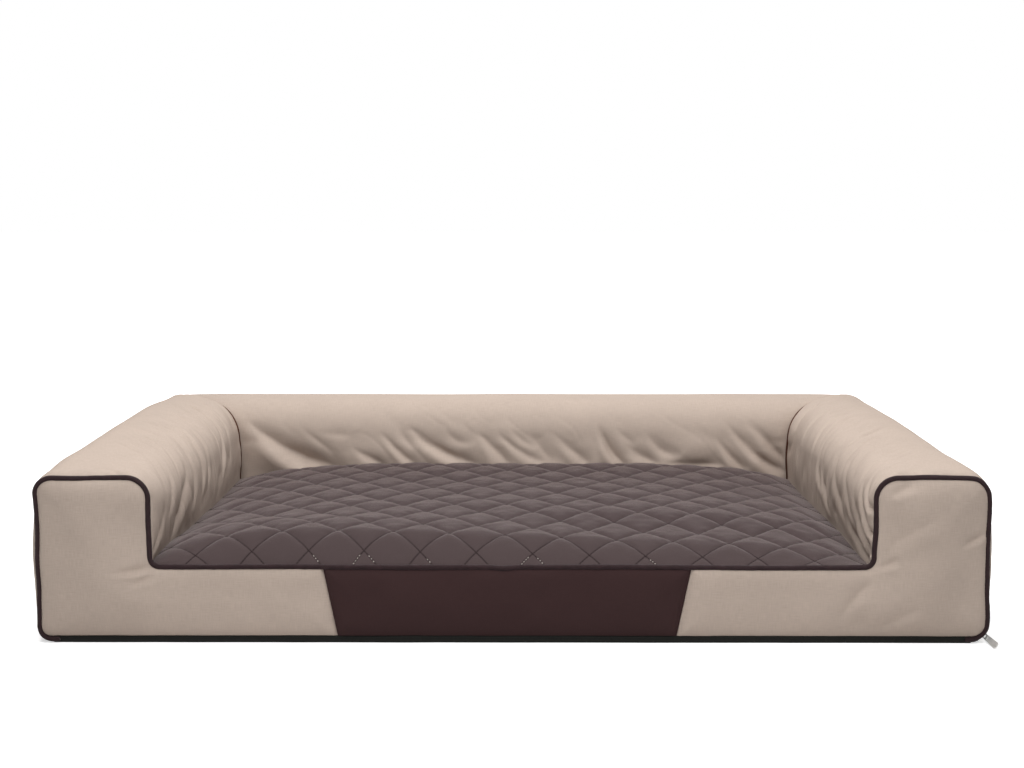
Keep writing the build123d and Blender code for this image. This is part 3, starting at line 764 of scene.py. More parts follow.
# Folds on the arms' inner faces: (distance behind the front, length up from the tuck)
Arm = namedtuple("Arm", "side name swell seed folds")
arms = [
    Arm(-1, "left", 8.5, 11, [
        Fold((132, 47), (229, 115), 5.0, 9.0, 2),
        Fold((98, 84), (140, 130), 2.8, 7.0, 4),
        Fold((6, 48), (60, 92), 3.6, 5.0, 8),
        Fold((330, 66), (364, 140), 4.0, 6.0, 5),
        Fold((392, 80), (424, 146), 3.6, 6.0, 6),
        Fold((520, 62), (590, 140), 3.2, 5.0, 4),
        Fold((250, 58), (292, 126), 2.8, 7.0, 4),
    ]),
    Arm(1, "right", 2.5, 21, [
        Fold((-14, 76), (75, 117), 6.0, 4.5, 14),
        Fold((-8, 56), (104, 92), 6.5, 5.5, 20),
        Fold((-18, 108), (46, 134), 4.5, 4.0, 10),
        Fold((24, 38), (151, 60), 5.0, 6.0, 8),
        Fold((286, 51), (384, 103), 3.4, 7.0, 6),
        Fold((362, 71), (424, 118), 2.8, 6.0, 12),
        Fold((180, 62), (262, 122), 3.0, 8.0, 8),
        Fold((110, 70), (196, 128), 2.6, 7.0, 8),
    ]),
]
arm_front_zone = 22
arm_seam_zone = 24
arm_row_counts = (16, 236, 18)
seam_crowding = 1.3


def arm_relief(distance, t, to_seam, arm):
    """Height of an arm's folds, wrinkles and puckers over its plain form."""
    seed = arm.seed
    relief = seam_puckers(to_seam, t, seed)
    relief = relief + arm.swell * band(distance, *arm_middle) * bell(t - arm_swell_t, arm_swell_width)
    strayed = distance + 3.0 * layered_noise(distance / 40, t / 32, seed + 12)
    for fold in arm.folds:
        relief = relief + crease_relief(strayed, t, fold, 1.0)
    parallel = to_seam + 0.00045 * (t - 60) ** 2 + 9 * soft_noise(t / 60, to_seam / 120, seed + 3)
    crescents = layered_noise(parallel / 19, t / 130, seed + 4)
    creases = bell(soft_noise(parallel / 21 + 5, t / 150, seed + 9), 0.16)
    fine = bell(soft_noise(parallel / 11, t / 90, seed + 10), 0.2)
    back_share = 0.5 + 0.5 * smooth_step(distance, 60, 260)
    wrinkles = 3.2 * crescents - 2.2 * creases - 0.9 * fine
    relief = relief + wrinkles * band(t, *arm_inner_face) * back_share
    relief = relief + 1.3 * soft_noise(distance / 95, t / 80, seed + 6) * smooth_step(distance, 10, 60)
    gathers = soft_noise(distance / 30, t / 8, seed + 7) * fade(distance, 14)
    relief = relief + 0.6 * gathers * smooth_step(distance, 0, 4)
    return sewn_relief(relief, distance, t, to_seam, seed + 8)


def arm_grid(side, inset=0.0):
    """Points of one arm before its folds, with the distance, length and seam distance at each."""
    end = back_y - body_front_y
    near_count, run_count, seam_count = arm_row_counts
    distances = np.concatenate([
        np.linspace(0, arm_front_zone, near_count),
        np.linspace(arm_front_zone, end - arm_seam_zone, run_count)[1:],
        end - arm_seam_zone * (1 - np.linspace(0, 1, seam_count)[1:]) ** seam_crowding,
    ])
    profile = np.stack([
        bolster_profile(section_at(distance), seam_inset * math.exp(-distance / seam_reach) + inset)
        for distance in distances
    ])
    inward = profile[:, :, 0]
    share = (distances / distances[-1])[:, None]
    y = body_front_y + distances[:, None] - inward * share**2
    points = np.stack([side * (half_width - inward), y, profile[:, :, 1]], axis=2)
    t = run_lengths(points)
    to_seam = (back_y - inward - y) * math.sqrt(0.5)
    return points, np.broadcast_to(distances[:, None], t.shape), t, to_seam


def arm_cover(arm):
    """One arm's cover, from its tuck behind the mattress over the crown to its hem."""
    points, distance, t, to_seam = arm_grid(arm.side)
    normals = grid_normals(points) * arm.side
    points = raise_cover(points, normals, arm_relief(distance, t, to_seam, arm), to_seam, 1)
    near_front = fade(distance, 26)
    for axis, shifted in zip((0, 2), wobbled(points[:, :, 0], points[:, :, 2])):
        points[:, :, axis] += (shifted - points[:, :, axis]) * near_front
    if arm.side > 0:
        points = open_zip_window(points)
    piece = grid_piece(f"{arm.name}_arm_cover", points, t, distance, cover_thickness, flip=arm.side > 0)
    dress(piece, beige_cloth, "beige_fabric", f"{arm.name}_bolster_cover", fill=cover_fills["arm"])
    return points, normals


zip_hem_z = 17.4
zip_hem_from_z = 40
zip_hem_ends = (1, 6)


def open_zip_window(points):
    """Draws the right cover's hem up above the zip, along the zip's length."""
    centre_x = half_width - bottom_edge_radius
    x, y, z = np.moveaxis(points, 2, 0)
    past_zip = smooth_step(y, *(zip_high[1] + end for end in zip_hem_ends))
    hem_z = z[:, -1:]
    share = np.clip((zip_hem_from_z - z) / (zip_hem_from_z - hem_z), 0, 1)
    lifted = z + (zip_hem_z - hem_z) * share * (1 - past_zip)
    drop = np.clip(bottom_edge_radius - lifted, 0, None)
    round_x = centre_x + np.sqrt(np.clip(bottom_edge_radius**2 - drop**2, 0, None))
    change = (z < zip_hem_from_z) & (x > centre_x) & (past_zip < 1)
    fitted = points.copy()
    fitted[:, :, 2] = np.where(change, lifted, z)
    fitted[:, :, 0] = np.where(change & (lifted < bottom_edge_radius), round_x, x)
    return fitted


# Folds and puffs on the back bolster: (x, length up from the tuck)
back_folds = [
    Fold((-428, 116), (-292, 47), 18.0, 12.5, 11),
    Fold((-350, 61), (-337, 40), 4.0, 6.0, -1),
    Fold((-349, 113), (-295, 66), 1.8, 7.0, -2),
    Fold((-323, 106), (-274, 102), 1.2, 5.0, 1),
    Fold((-261, 78), (-207, 50), 6.5, 6.0, 1),
    Fold((-214, 101), (-157, 52), 6.0, 5.0, 2),
    Fold((-191, 114), (-165, 85), 2.2, 7.0, 2),
    Fold((-168, 111), (-66, 56), 11.0, 7.5, 8),
    Fold((-112, 114), (-75, 86), 2.6, 8.0, 6),
    Fold((-56, 106), (-10, 57), 6.0, 6.5, 1),
    Fold((-25, 105), (49, 58), 4.6, 6.0, 7),
    Fold((-4, 113), (29, 82), 2.4, 6.0, 3),
    Fold((27, 101), (67, 60), 4.0, 10.0, 3),
    Fold((77, 93), (123, 57), 6.0, 7.0, 1),
    Fold((141, 112), (181, 54), 9.0, 6.0, 5),
    Fold((169, 111), (195, 86), 2.2, 6.0, 0),
    Fold((182, 87), (233, 57), 7.0, 9.0, 4),
    Fold((223, 98), (264, 68), 5.0, 8.0, 6),
    Fold((248, 57), (335, 54), 8.0, 6.0, 3),
    Fold((338, 93), (376, 50), 7.0, 5.5, 1),
    Fold((356, 113), (449, 36), 9.0, 6.5, 7),
    Fold((386, 120), (447, 52), 6.0, 7.0, -3),
]
back_swells = [
    Dent((-402, 70), -5.0, (24, 16)),
    Dent((-330, 44), -2.0, (30, 10)),
    Dent((-120, 60), -2.0, (26, 13)),
    Dent((300, 84), -3.0, (26, 14)),
    Dent((352, 60), -1.8, (14, 12)),
    Dent((402, 66), -3.0, (12, 20)),
]
back_seed = 41
back_lean = 13.0
back_lean_t = (36, 128)
back_slant = (0.62, 0.78)
back_middle_share = 0.96
back_end_share = 0.04
back_column_counts = (400, 26)


def back_relief(x, t, to_seam):
    """Height of the back bolster's folds and wrinkles over its plain form."""
    relief = seam_puckers(to_seam, t, back_seed)
    strayed_x = x + 3.0 * layered_noise(x / 42, t / 30, back_seed + 8)
    strayed_t = t + 2.4 * layered_noise(x / 36, t / 26, back_seed + 11)
    for fold in back_folds:
        relief = relief + crease_relief(strayed_x, strayed_t, fold)
    for dent in back_swells:
        relief = relief + dent_relief(x, t, dent)
    slanted = x * back_slant[0] + t * back_slant[1]
    along = x * back_slant[1] - t * back_slant[0]
    ripples = layered_noise(slanted / 24, along / 70, back_seed + 2)
    creases = bell(soft_noise(slanted / 27 + 3, along / 60, back_seed + 14), 0.14)
    relief = relief + (1.0 * ripples - 0.5 * creases) * band(t, *back_inner_face)
    relief = relief + 0.9 * soft_noise(x / 120, t / 70, back_seed + 4)
    relief = relief + back_lean * (1 - smooth_step(t, *back_lean_t)) * grow(to_seam, 50)
    return sewn_relief(relief, x, t, to_seam, back_seed + 6)


def back_grid(inset=0.0):
    """Points of the back bolster before its folds, with x, length and seam distance at each."""
    profile = bolster_profile(run_section, inset)
    middle_count, end_count = back_column_counts
    middle = np.linspace(-back_middle_share, back_middle_share, middle_count)
    ends = 1 - back_end_share * (1 - np.linspace(0, 1, end_count)[1:]) ** seam_crowding
    shares = np.concatenate([-ends[::-1], middle, ends])[:, None]
    inward = profile[None, :, 0]
    x = shares * (half_width - inward)
    points = np.stack(np.broadcast_arrays(x, back_y - inward, profile[None, :, 1]), axis=2)
    t = np.broadcast_to(run_lengths(profile), x.shape)
    to_seam = (half_width - inward - np.abs(x)) * math.sqrt(0.5)
    return points, x, t, to_seam


def back_cover():
    """The back bolster's cover between the two corner seams."""
    points, x, t, to_seam = back_grid()
    normals = -grid_normals(points)
    points = raise_cover(points, normals, back_relief(x, t, to_seam), to_seam, 0)
    piece = grid_piece("back_cover", points, t, x, cover_thickness, flip=True)
    dress(piece, beige_cloth, "beige_fabric", "back_bolster_cover", fill=cover_fills["back"])
    return points, normals


# A dark cord in each corner, a painted shadow of the seam's gap, follows a row of the arm's cover, thicker
# on the inner wall
corner_seam_row = -3
corner_seam_start = 8
corner_seam_rise = 2.9
corner_seam_thin = 0.6
corner_seam_thick = 1.9
corner_seam_points = 260
corner_seam_sides = 8
corner_seam_length = 500
corner_seam_girth = 5


def seam_shadow_cords(covers):
    """A dark cord in each corner, a painted shadow in the seam where an arm's cover meets the back's."""
    for arm, (points, normals) in zip(arms, covers):
        across = np.array([arm.side, -1.0, 0.0]) * math.sqrt(0.5)
        corner = np.array([arm.side * half_width, back_y, 0.0])
        beside = points[corner_seam_row]
        line = beside - ((beside - corner) @ across)[:, None] * across
        facing_in = np.clip(-arm.side * normals[corner_seam_row][:, 0], 0, 1)
        line = line + corner_seam_rise * facing_in[:, None] * np.array([-arm.side, -1.0, 0.0])
        places = np.concatenate([line, facing_in[:, None]], axis=1)
        places = resample(places[corner_seam_start:], corner_seam_points)
        line = places[:, :3]
        on_wall = smooth_step(places[:, 3], 0.1, 0.8)
        radii = corner_seam_thin + (corner_seam_thick - corner_seam_thin) * on_wall
        tangents = unit(np.gradient(line, axis=0))
        sideways = unit(np.cross(tangents, np.array([0.7 * arm.side, 0.7, 0.2])))
        upwards = np.cross(tangents, sideways)
        angles = around(corner_seam_sides)[None, :, None]
        rings = line[:, None, :] + radii[:, None, None] * (
            np.cos(angles) * sideways[:, None, :] + np.sin(angles) * upwards[:, None, :])
        lengths = np.linspace(0, corner_seam_length, len(line))
        piece = tube_piece(f"{arm.name}_corner_seam", rings, lengths, corner_seam_girth)
        dress(piece, seam_thread, "beige_fabric")


core_inset = 6.5
core_follow = 1.1
core_step = 3
core_puff = 1.5
core_grain = 5
core_floor_gap = 0.6
core_fill = 0.9


def core_piece(name, node, points, relief, seed, side):
    """A puffed fibre core that follows its cover's folds, closed along the slab and at both ends."""
    points = points + grid_normals(points) * (side * np.minimum(relief, 0) * core_follow)[:, :, None]
    points = points[::core_step, ::core_step]
    normals = grid_normals(points) * side
    rows, columns = points.shape[:2]
    u, v = np.meshgrid(np.arange(columns) / core_grain, np.arange(rows) / core_grain)
    points = points - normals * (core_puff + core_puff * layered_noise(u, v, seed, 3))[:, :, None]
    points[:, :, 2] = np.maximum(points[:, :, 2], tuck_z + core_floor_gap)
    piece = mesh_piece(name, points.reshape(-1, 3), tube_faces(rows, columns))
    dress(piece, core_fibres, "fibre_fill", node, fill=core_fill)


def bolster_cores():
    """Fibre filling of the arms and the back."""
    for arm in arms:
        points, distance, t, to_seam = arm_grid(arm.side, core_inset)
        relief = arm_relief(distance, t, to_seam, arm)
        names = f"{arm.name}_arm_core", f"{arm.name}_bolster_core"
        core_piece(*names, points, relief, 31 + arm.side, arm.side)
    points, x, t, to_seam = back_grid(core_inset)
    core_piece("back_core", "back_bolster_core", points, back_relief(x, t, to_seam), 37, -1)


# Quilted mattress: heights of the sewn channels at the arms and along the middle, by place

Station = namedtuple("Station", "y side crown")
quilt_front_y = piping_y + 1.2
quilt_front_z = outline_lip - 1.0
quilt_seam_allowance = 3.0
quilt_back_y = back_y - run_section.foot + quilt_seam_allowance
mattress_stations = [
    Station(body_front_y, 93, 120.6),
    Station(body_front_y + 125, 93, 121.5),
    Station(body_front_y + 270, 93, 121),
    Station(body_front_y + 330, 93, 118.6),
    Station(body_front_y + 470, 92, 117),
    Station(quilt_back_y, 89, 116.5),
]
station_margin = 90
station_count = 500
station_half = 30
station_reach = 25
quilt_thickness = 7.0
pad_rise = 5.0
pad_unevenness = 0.2
pad_edge_power = 3.4
pad_corner_power = 0.7
side_drop_power = 5
front_roll_depth = 75.0
front_roll_power = 1.9
front_lean = -8.5
back_tuck = 4
back_tuck_reach = 7
quilt_gather = 0.04
quilt_gather_reach = 60.0
quilt_stray = 1.2
quilt_stray_size = 60
quilt_columns = 452
# The quilt's rows stand closer together near its front edge
quilt_row_ends = (quilt_front_y, quilt_front_y + 8, quilt_front_y + 40, quilt_back_y)
quilt_row_counts = (12, 22, 300)


def quilt_half_width(y):
    """Half of the quilt's width between the arms' inner walls, a little under their covers."""
    return half_width - foot_width(y - body_front_y) + quilt_seam_allowance


def crown_heights(y):
    """Heights of the sewn channels at the arms and along the middle, for places along the bed."""
    stations = np.array(mattress_stations)
    fine = np.linspace(stations[0, 0] - station_margin, stations[-1, 0] + station_margin, station_count)
    weights = moving_weights(station_half, fine[1] - fine[0], station_reach)
    for column in (1, 2):
        line = np.pad(np.interp(fine, stations[:, 0], stations[:, column]), station_half, mode="edge")
        yield np.interp(y, fine, np.convolve(line, weights, "valid"))


def channel_height(x, y):
    """Height of the quilt's sewn channels, with the mattress's slow unevenness."""
    side, crown = crown_heights(y)
    half = quilt_half_width(y)
    across = 1 - np.clip(np.abs(x) / half, 0, 1) ** side_drop_power
    uneven = 1.2 * soft_noise(x / 170 + 7, y / 130 + 3, 81) + 0.9 * soft_noise(x / 70, y / 60, 82)
    height = side + (crown - side) * across + uneven * smooth_step(y, front_y + 30, front_y + 110)
    near_front = 1 - smooth_step(y, front_y + 125, front_y + 230)
    height = height + front_lean * np.sin(0.75 * math.pi * x / half) * near_front
    height = height - back_tuck * fade(quilt_back_y - y, back_tuck_reach)
    roll = np.clip(1 - (y - quilt_front_y) / front_roll_depth, 0, 1) ** front_roll_power
    return height - (height - quilt_front_z) * roll


def quilt_drift(x, y):
    """Places on the quilt's cloth: the sewing strays a little, and the front edge is gathered."""
    gathered = 1 + quilt_gather * fade(y - quilt_front_y, quilt_gather_reach)
    stray_x, stray_y = (
        quilt_stray * soft_noise(x / quilt_stray_size, y / quilt_stray_size, seed) for seed in (83, 84)
    )
    return x * gathered + stray_x, y + stray_y


def pad_height(x, y):
    """Height of the puffed diamonds above their sewn channels, with puckers along the lines."""
    drifted_x, drifted_y = quilt_drift(x, y)
    across = (drifted_x - diamond_origin[0]) / diamond_width
    along = (drifted_y - diamond_origin[1]) / diamond_length
    p, q = across + along, across - along
    to_p, to_q = (np.abs(place - np.round(place)) * line_spacing for place in (p, q))
    full_p, full_q = (
        1 - (1 - np.clip(distance / (line_spacing / 2), 0, 1)) ** pad_edge_power for distance in (to_p, to_q)
    )
    pad = soft_noise(np.floor(p) + 0.5, np.floor(q) + 0.5, 85)
    rise = pad_rise * (1 + pad_unevenness * pad) * (full_p * full_q) ** pad_corner_power
    nearest = np.minimum(to_p, to_q)
    puckers = soft_noise(x / 7, y / 7, 86) * fade(nearest, 7) * grow(nearest, 2)
    creases = layered_noise(x / 26, y / 22, 87) * (full_p * full_q)
    front_press = smooth_step(y, front_y + 10, front_y + 80)
    tucked = smooth_step(quilt_half_width(y) - np.abs(x), 4, 50) * smooth_step(quilt_back_y - y, 2, 34)
    return (rise + 0.7 * puckers + 0.8 * creases) * (0.3 + 0.7 * front_press) * (0.15 + 0.85 * tucked)


def quilt_height(x, y):
    """Height of the quilt's upper face."""
    return channel_height(x, y) + pad_height(x, y)


def quilted_top():
    """The quilted cloth over the whole mattress."""
    stretches = zip(quilt_row_ends, quilt_row_ends[1:], quilt_row_counts)
    rows = np.unique(np.concatenate([np.linspace(*stretch) for stretch in stretches]))
    shares, y = np.meshgrid(np.linspace(-1, 1, quilt_columns), rows)
    x = shares * quilt_half_width(y)
    points = np.stack([x, y, quilt_height(x, y)], axis=2)
    piece = grid_piece("quilted_mattress_top", points, *quilt_drift(x, y), quilt_thickness)
    dress(piece, quilt_cloth, "quilted_brown_fabric", "quilted_top", fill=0.55)


# Stitches

Stitch = namedtuple("Stitch", "length radius")
stitch_sides = 6
stitch_taper = 0.6


def stitches(name, places, directions, normals, stitch, material, slot):
    """Short raised threads at places, each along its direction and bulging along its normal."""
    sides = stitch_sides
    template = [(-1, 0, 0)]
    for end in (-stitch_taper, stitch_taper):
        template += [(end, math.cos(angle), math.sin(angle)) for angle in around(sides)]
    template = np.array(template + [(1, 0, 0)])
    first, second, last = 1, 1 + sides, 1 + 2 * sides
    faces = []
    for k in range(sides):
        j = (k + 1) % sides
        faces.append((0, first + j, first + k))
        faces.append((first + k, first + j, second + j, second + k))
        faces.append((last, second + k, second + j))
    sideways = np.cross(directions, normals)
    points = (
        places[:, None, :]
        + template[None, :, 0:1] * directions[:, None, :] * stitch.length / 2
        + template[None, :, 1:2] * sideways[:, None, :] * stitch.radius
        + template[None, :, 2:3] * normals[:, None, :] * stitch.radius
    )
    starts = range(0, len(places) * len(template), len(template))
    all_faces = [tuple(index + start for index in face) for start in starts for face in faces]
    piece = mesh_piece(name, points.reshape(-1, 3), all_faces, np.tile(template[:, :2], (len(places), 1)))
    dress(piece, material, slot)


# Stretches of x where the quilt's stitches near its front edge are drawn pale
pale_stretches = (
    (-254, -226), (-210, -164), (-140, -132), (-108, -100), (-72, -64), (4, 42), (72, 80), (174, 184),
)
pale_thread_y = front_y + 22
quilt_stitch_pitch = 4.6
quilt_stitch_margin = 5
quilt_stitch_rise = 0.25
quilt_slope_step = 1.2
quilt_line_reach = 1000
dark_stitch = Stitch(3.2, 0.5)
pale_stitch = Stitch(1.9, 0.55)


def quilt_stitches():
    """Thread along every sewn line of the quilt."""
    slope = diamond_length / diamond_width
    along = np.arange(-quilt_line_reach, quilt_line_reach, quilt_stitch_pitch)[:, None]
    places = []
    directions = []
    reach = int(bed_width / diamond_width) + int(bed_depth / diamond_length) + 2
    for sign in (-1, 1):
        direction = unit(np.array([1.0, sign * slope]))
        for line in range(-reach, reach):
            start = np.array([diamond_origin[0] + line * diamond_width, diamond_origin[1]])
            places.append(start + along * direction)
            directions.append(np.broadcast_to(direction, (len(along), 2)))
    drawn = np.concatenate(places)
    flat = np.concatenate(directions)
    # The cloth drifts under the needle, so the drift is undone by a few rounds
    spots = drawn.copy()
    for _ in range(6):
        spots = spots + drawn - np.stack(quilt_drift(spots[:, 0], spots[:, 1]), axis=1)
    inside = (
        (np.abs(spots[:, 0]) < quilt_half_width(spots[:, 1]) - quilt_stitch_margin)
        & (spots[:, 1] > quilt_front_y + quilt_stitch_margin)
        & (spots[:, 1] < quilt_back_y - quilt_stitch_margin)
    )
    spots = spots[inside]
    flat = flat[inside]
    ahead = spots + flat * quilt_slope_step
    behind = spots - flat * quilt_slope_step
    rise = quilt_height(ahead[:, 0], ahead[:, 1]) - quilt_height(behind[:, 0], behind[:, 1])
    along = unit(np.concatenate([flat, (rise / (2 * quilt_slope_step))[:, None]], axis=1))
    normals = unit(np.array([0.0, 0.0, 1.0]) - along * along[:, 2:3])
    heights = quilt_height(spots[:, 0], spots[:, 1]) + quilt_stitch_rise
    centres = np.concatenate([spots, heights[:, None]], axis=1)
    pale = np.zeros(len(spots), bool)
    for low_x, high_x in pale_stretches:
        pale |= (spots[:, 0] > low_x) & (spots[:, 0] < high_x) & (spots[:, 1] < pale_thread_y)
    for name, chosen, material, stitch in (
        ("quilting_thread", ~pale, thread, dark_stitch),
        ("pale_quilting_thread", pale, pale_thread, pale_stitch),
    ):
        stitches(name, centres[chosen], along[chosen], normals[chosen], stitch, material,
                 "quilted_brown_fabric")


# Piping

piping_sides = 24
piping_join_x = -10.0
piping_join_rise = 0.45
piping_slack = 0.15
cord_sides = 12
cord_radius = 1.9
cord_lobe = 0.12
cord_step = 3
cord_girth = 12


def tube_rings(line, y, radii, sides):
    """Rings of points round a line in the front plane."""
    tangents = unit(np.gradient(line, axis=0))
    across = np.stack([-tangents[:, 1], tangents[:, 0]], axis=1)
    angles = around(sides)[None, :]
    out = radii * np.cos(angles)
    x = line[:, 0:1] + out * across[:, 0:1]
    z = line[:, 1:2] + out * across[:, 1:2]
    return np.stack([x, y[:, None] - radii * np.sin(angles), z], axis=2)


def front_piping():
    """The corded piping round the front, with a short overlap where its ends are joined."""
    line = front_line()
    lengths = run_lengths(line)
    turns = np.arange(piping_sides)[None, :] / piping_sides * 6
    lumps = 0.16 * soft_noise(lengths[:, None] / 5, turns, 51)
    lumps = lumps + 0.14 * soft_noise(lengths[:, None] / 18, turns, 52)
    at_join = bell(line[:, 0] - piping_join_x, 8, 4) * (line[:, 1] < front_lip_height + 5)
    radii = piping_radius - piping_slack + lumps + piping_join_rise * at_join[:, None]
    y = piping_y + 0.5 * soft_noise(lengths / 60, 0, 53)
    girth = 2 * math.pi * piping_radius
    tape = tube_piece("front_piping_tape", tube_rings(line, y, radii, piping_sides), lengths, girth)
    dress(tape, piping_cloth, "piping_fabric", "front_piping")
    line, y, lengths = line[::cord_step], y[::cord_step], lengths[::cord_step]
    strand = cord_radius + cord_lobe * np.cos(3 * around(cord_sides)[None, :] + lengths[:, None] / 2.2)
    cord = tube_piece("piping_filler_cord", tube_rings(line, y, strand, cord_sides), lengths, cord_girth)
    dress(cord, cord_cotton, "piping_cord", "front_piping_cord")


# Front panels

panel_spacing = 3.0
outline_spacing = 2.4
panel_edge_y = piping_y + 0.8
panel_back_y = body_front_y - 0.1
panel_edge_puff = 3.4
panel_puff = 7.6
panel_puff_reach = 24.0
panel_side_puff = 9.0
panel_side_reach = 140.0
panel_bottom = base_rim_height - 0.2
panel_bottom_radius = outer_bottom_radius - 3.5
panel_seam_gap = 0.35
panel_seam_slant = 18.0
panel_fill = 0.7
panel_folds = {
    -1: [
        Fold((-504, 92), (-453, 99), 4.2, 3.4, 2),
        Fold((-480, 76), (-453, 87), 2.6, 3.2, 1),
        Dent((-468, 142), 3.6, (11, 20)),
        Dent((-486, 164), 1.5, (12, 12)),
        Dent((-566, 150), 2.6, (18, 34)),
        Dent((-520, 196), -1.8, (30, 12)),
        Dent((-330, 60), 1.5, (40, 16)),
        Dent((-252, 74), 1.4, (9, 12)),
    ],
    0: [
        Fold((-150, 88), (-190, 40), 0.7, 10, 3),
        Fold((60, 90), (20, 40), 0.6, 10, 2),
        Fold((170, 88), (196, 40), 0.7, 9, -2),
    ],
    1: [
        Fold((462, 112), (520, 158), 3.2, 8.0, -3),
        Fold((455, 97), (482, 108), 3.4, 3.6, 1),
        Fold((466, 188), (500, 204), 3.2, 4.5, 0),
        Fold((562, 126), (592, 141), 4.0, 3.6, 0),
        Fold((410, 28), (446, 76), 3.0, 6.0, -3),
        Fold((460, 20), (504, 44), 2.4, 6.0, 0),
        Dent((476, 148), 3.2, (13, 20)),
        Dent((437, 27), 2.6, (10, 9)),
        Dent((460, 42), -1.6, (13, 10)),
        Dent((566, 80), 2.2, (16, 36)),
        Dent((520, 196), -1.8, (26, 12)),
        Dent((300, 50), 1.5, (40, 18)),
    ],
}


def inside_polygon(x, z, polygon):
    """Which places lie inside a closed polygon."""
    inside = np.zeros(x.shape, bool)
    for (x0, z0), (x1, z1) in zip(polygon, np.roll(polygon, -1, axis=0)):
        if z1 != z0:
            inside ^= ((z0 > z) != (z1 > z)) & (x < (x1 - x0) * (z - z0) / (z1 - z0) + x0)
    return inside


def edge_distance(x, z, polygon):
    """Distance of places from a closed polygon's outline."""
    best = np.full(x.shape, 1e9)
    for start, end in zip(polygon, np.roll(polygon, -1, axis=0)):
        step = end - start
        size = step @ step
        if size == 0:
            continue
        share = np.clip(((x - start[0]) * step[0] + (z - start[1]) * step[1]) / size, 0, 1)
        best = np.minimum(best, np.hypot(x - start[0] - share * step[0], z - start[1] - share * step[1]))
    return best


def panel_relief(x, z, distance, folds, seed):
    """How far a front panel stands forward of its sewn edge."""
    to_side = np.clip(outline_side - np.abs(x), 0, None)
    side_puff = grow(to_side, 45) * bell(to_side, panel_side_reach)
    puff = panel_edge_puff * grow(distance, 3.5) + panel_puff * grow(distance, panel_puff_reach)
    puff = puff + panel_side_puff * side_puff * grow(distance, panel_puff_reach)
    slow = 2.6 * soft_noise(x / 72, z / 58, seed) + 1.3 * soft_noise(x / 34, z / 30, seed + 1)
    puckers = soft_noise(x / 8, z / 8, seed + 2) * fade(distance, 7) * grow(distance, 2)
    relief = puff + slow * grow(distance, 14) + 0.35 * puckers
    for fold in folds:
        form = crease_relief if isinstance(fold, Fold) else dent_relief
        relief = relief + form(x, z, fold) * grow(distance, 5)
    return relief


def front_panel(name, node, corners, folds, material, slot, seed):
    """A puffed panel of cloth inside a rounded outline given by (x, z, radius)."""
    outline = rounded_path(corners, closed=True)
    outline = resample(outline, int(run_lengths(outline)[-1] / outline_spacing))[:-1]
    low, high = outline.min(axis=0), outline.max(axis=0)
    rows = np.arange(low[1], high[1], panel_spacing * math.sqrt(0.75))
    lines = [np.arange(low[0] + k % 2 * panel_spacing / 2, high[0], panel_spacing) for k in range(len(rows))]
    x = np.concatenate(lines)
    z = np.repeat(rows, [len(line) for line in lines])
    keep = inside_polygon(x, z, outline) & (edge_distance(x, z, outline) > panel_spacing / 2)
    flat = np.concatenate([outline, np.stack([x[keep], z[keep]], axis=1)])
    cut = geometry.delaunay_2d_cdt([Vector(p) for p in flat], [], [list(range(len(outline)))], 1, 1e-6)
    flat = np.array([tuple(p) for p in cut[0]])
    distance = edge_distance(flat[:, 0], flat[:, 1], outline)
    y = panel_edge_y - panel_relief(flat[:, 0], flat[:, 1], distance, folds, seed)
    x, z = wobbled(flat[:, 0], flat[:, 1])
    points = np.stack([x, y, z], axis=1)
    rim = [index for index in range(len(flat)) if distance[index] < 1e-4]
    rim.sort(key=lambda index: int(np.argmin(np.abs(outline - flat[index]).sum(axis=1))))
    back = points[rim].copy()
    back[:, 1] = panel_back_y
    faces = [list(face) for face in cut[2]]
    a, b, c = points[faces[0][:3]]
    if np.cross(b - a, c - a)[1] > 0:
        faces = [face[::-1] for face in faces]
    for index in range(len(rim)):
        after = (index + 1) % len(rim)
        faces.append([rim[index], rim[after], len(points) + after, len(points) + index])
    piece = mesh_piece(name, np.concatenate([points, back]), faces, np.concatenate([flat, flat[rim]]))
    dress(piece, material, slot, node, fill=panel_fill)


def front_panels():
    """The two beige panels and the dark one between them."""
    left_top, right_top = insert_low[0], insert_high[0]
    for arm, top in zip(arms, (left_top, right_top)):
        seam = top + arm.side * panel_seam_gap
        bottom = [(outline_side, panel_bottom, panel_bottom_radius)]
        corners = [
            (seam - arm.side * panel_seam_slant, panel_bottom, 0),
            *mirrored(bottom + arm_end, arm.side),
            (seam, outline_lip, 0),
        ]
        front_panel(f"{arm.name}_front_cloth", f"front_panel_{arm.name}", corners, panel_folds[arm.side],
                    beige_cloth, "beige_fabric", 61 + arm.side)
    corners = [
        (left_top + panel_seam_slant, panel_bottom, 0),
        (right_top - panel_seam_slant, panel_bottom, 0),
        (right_top, outline_lip, 0),
        (left_top, outline_lip, 0),
    ]
    front_panel("front_insert_cloth", "front_panel_insert", corners, panel_folds[0], dark_cloth,
                "dark_brown_fabric", 71)


# Base, slab and topper

base_cloth_thickness = 1.4
zip_window_rim_z = 2.7
base_zip_ends = (1, 5)
base_columns = (14, 150)
base_rows = (100, 12)
strip_top = base_rim_height + 0.6
strip_y = panel_low[1] - 0.2
strip_radii = (1.6, 0.8)
strip_overlap = 2
strip_turn_in = 3
strip_counts = (420, 26)
slab_inset = 0.3
slab_edge_radius = 30.0
slab_spacing = (40, 40, 3)
topper_width_share = 0.99
topper_margins = (4, 6)
topper_depth = 3
topper_thickness = 18.0
topper_counts = (90, 64)


def edge_height(outside):
    """Height of the rounded lower edge at a distance inside the bed's outer face."""
    drop = np.clip(bottom_edge_radius - outside, 0, bottom_edge_radius)
    return bottom_edge_radius - np.sqrt(bottom_edge_radius**2 - drop**2)


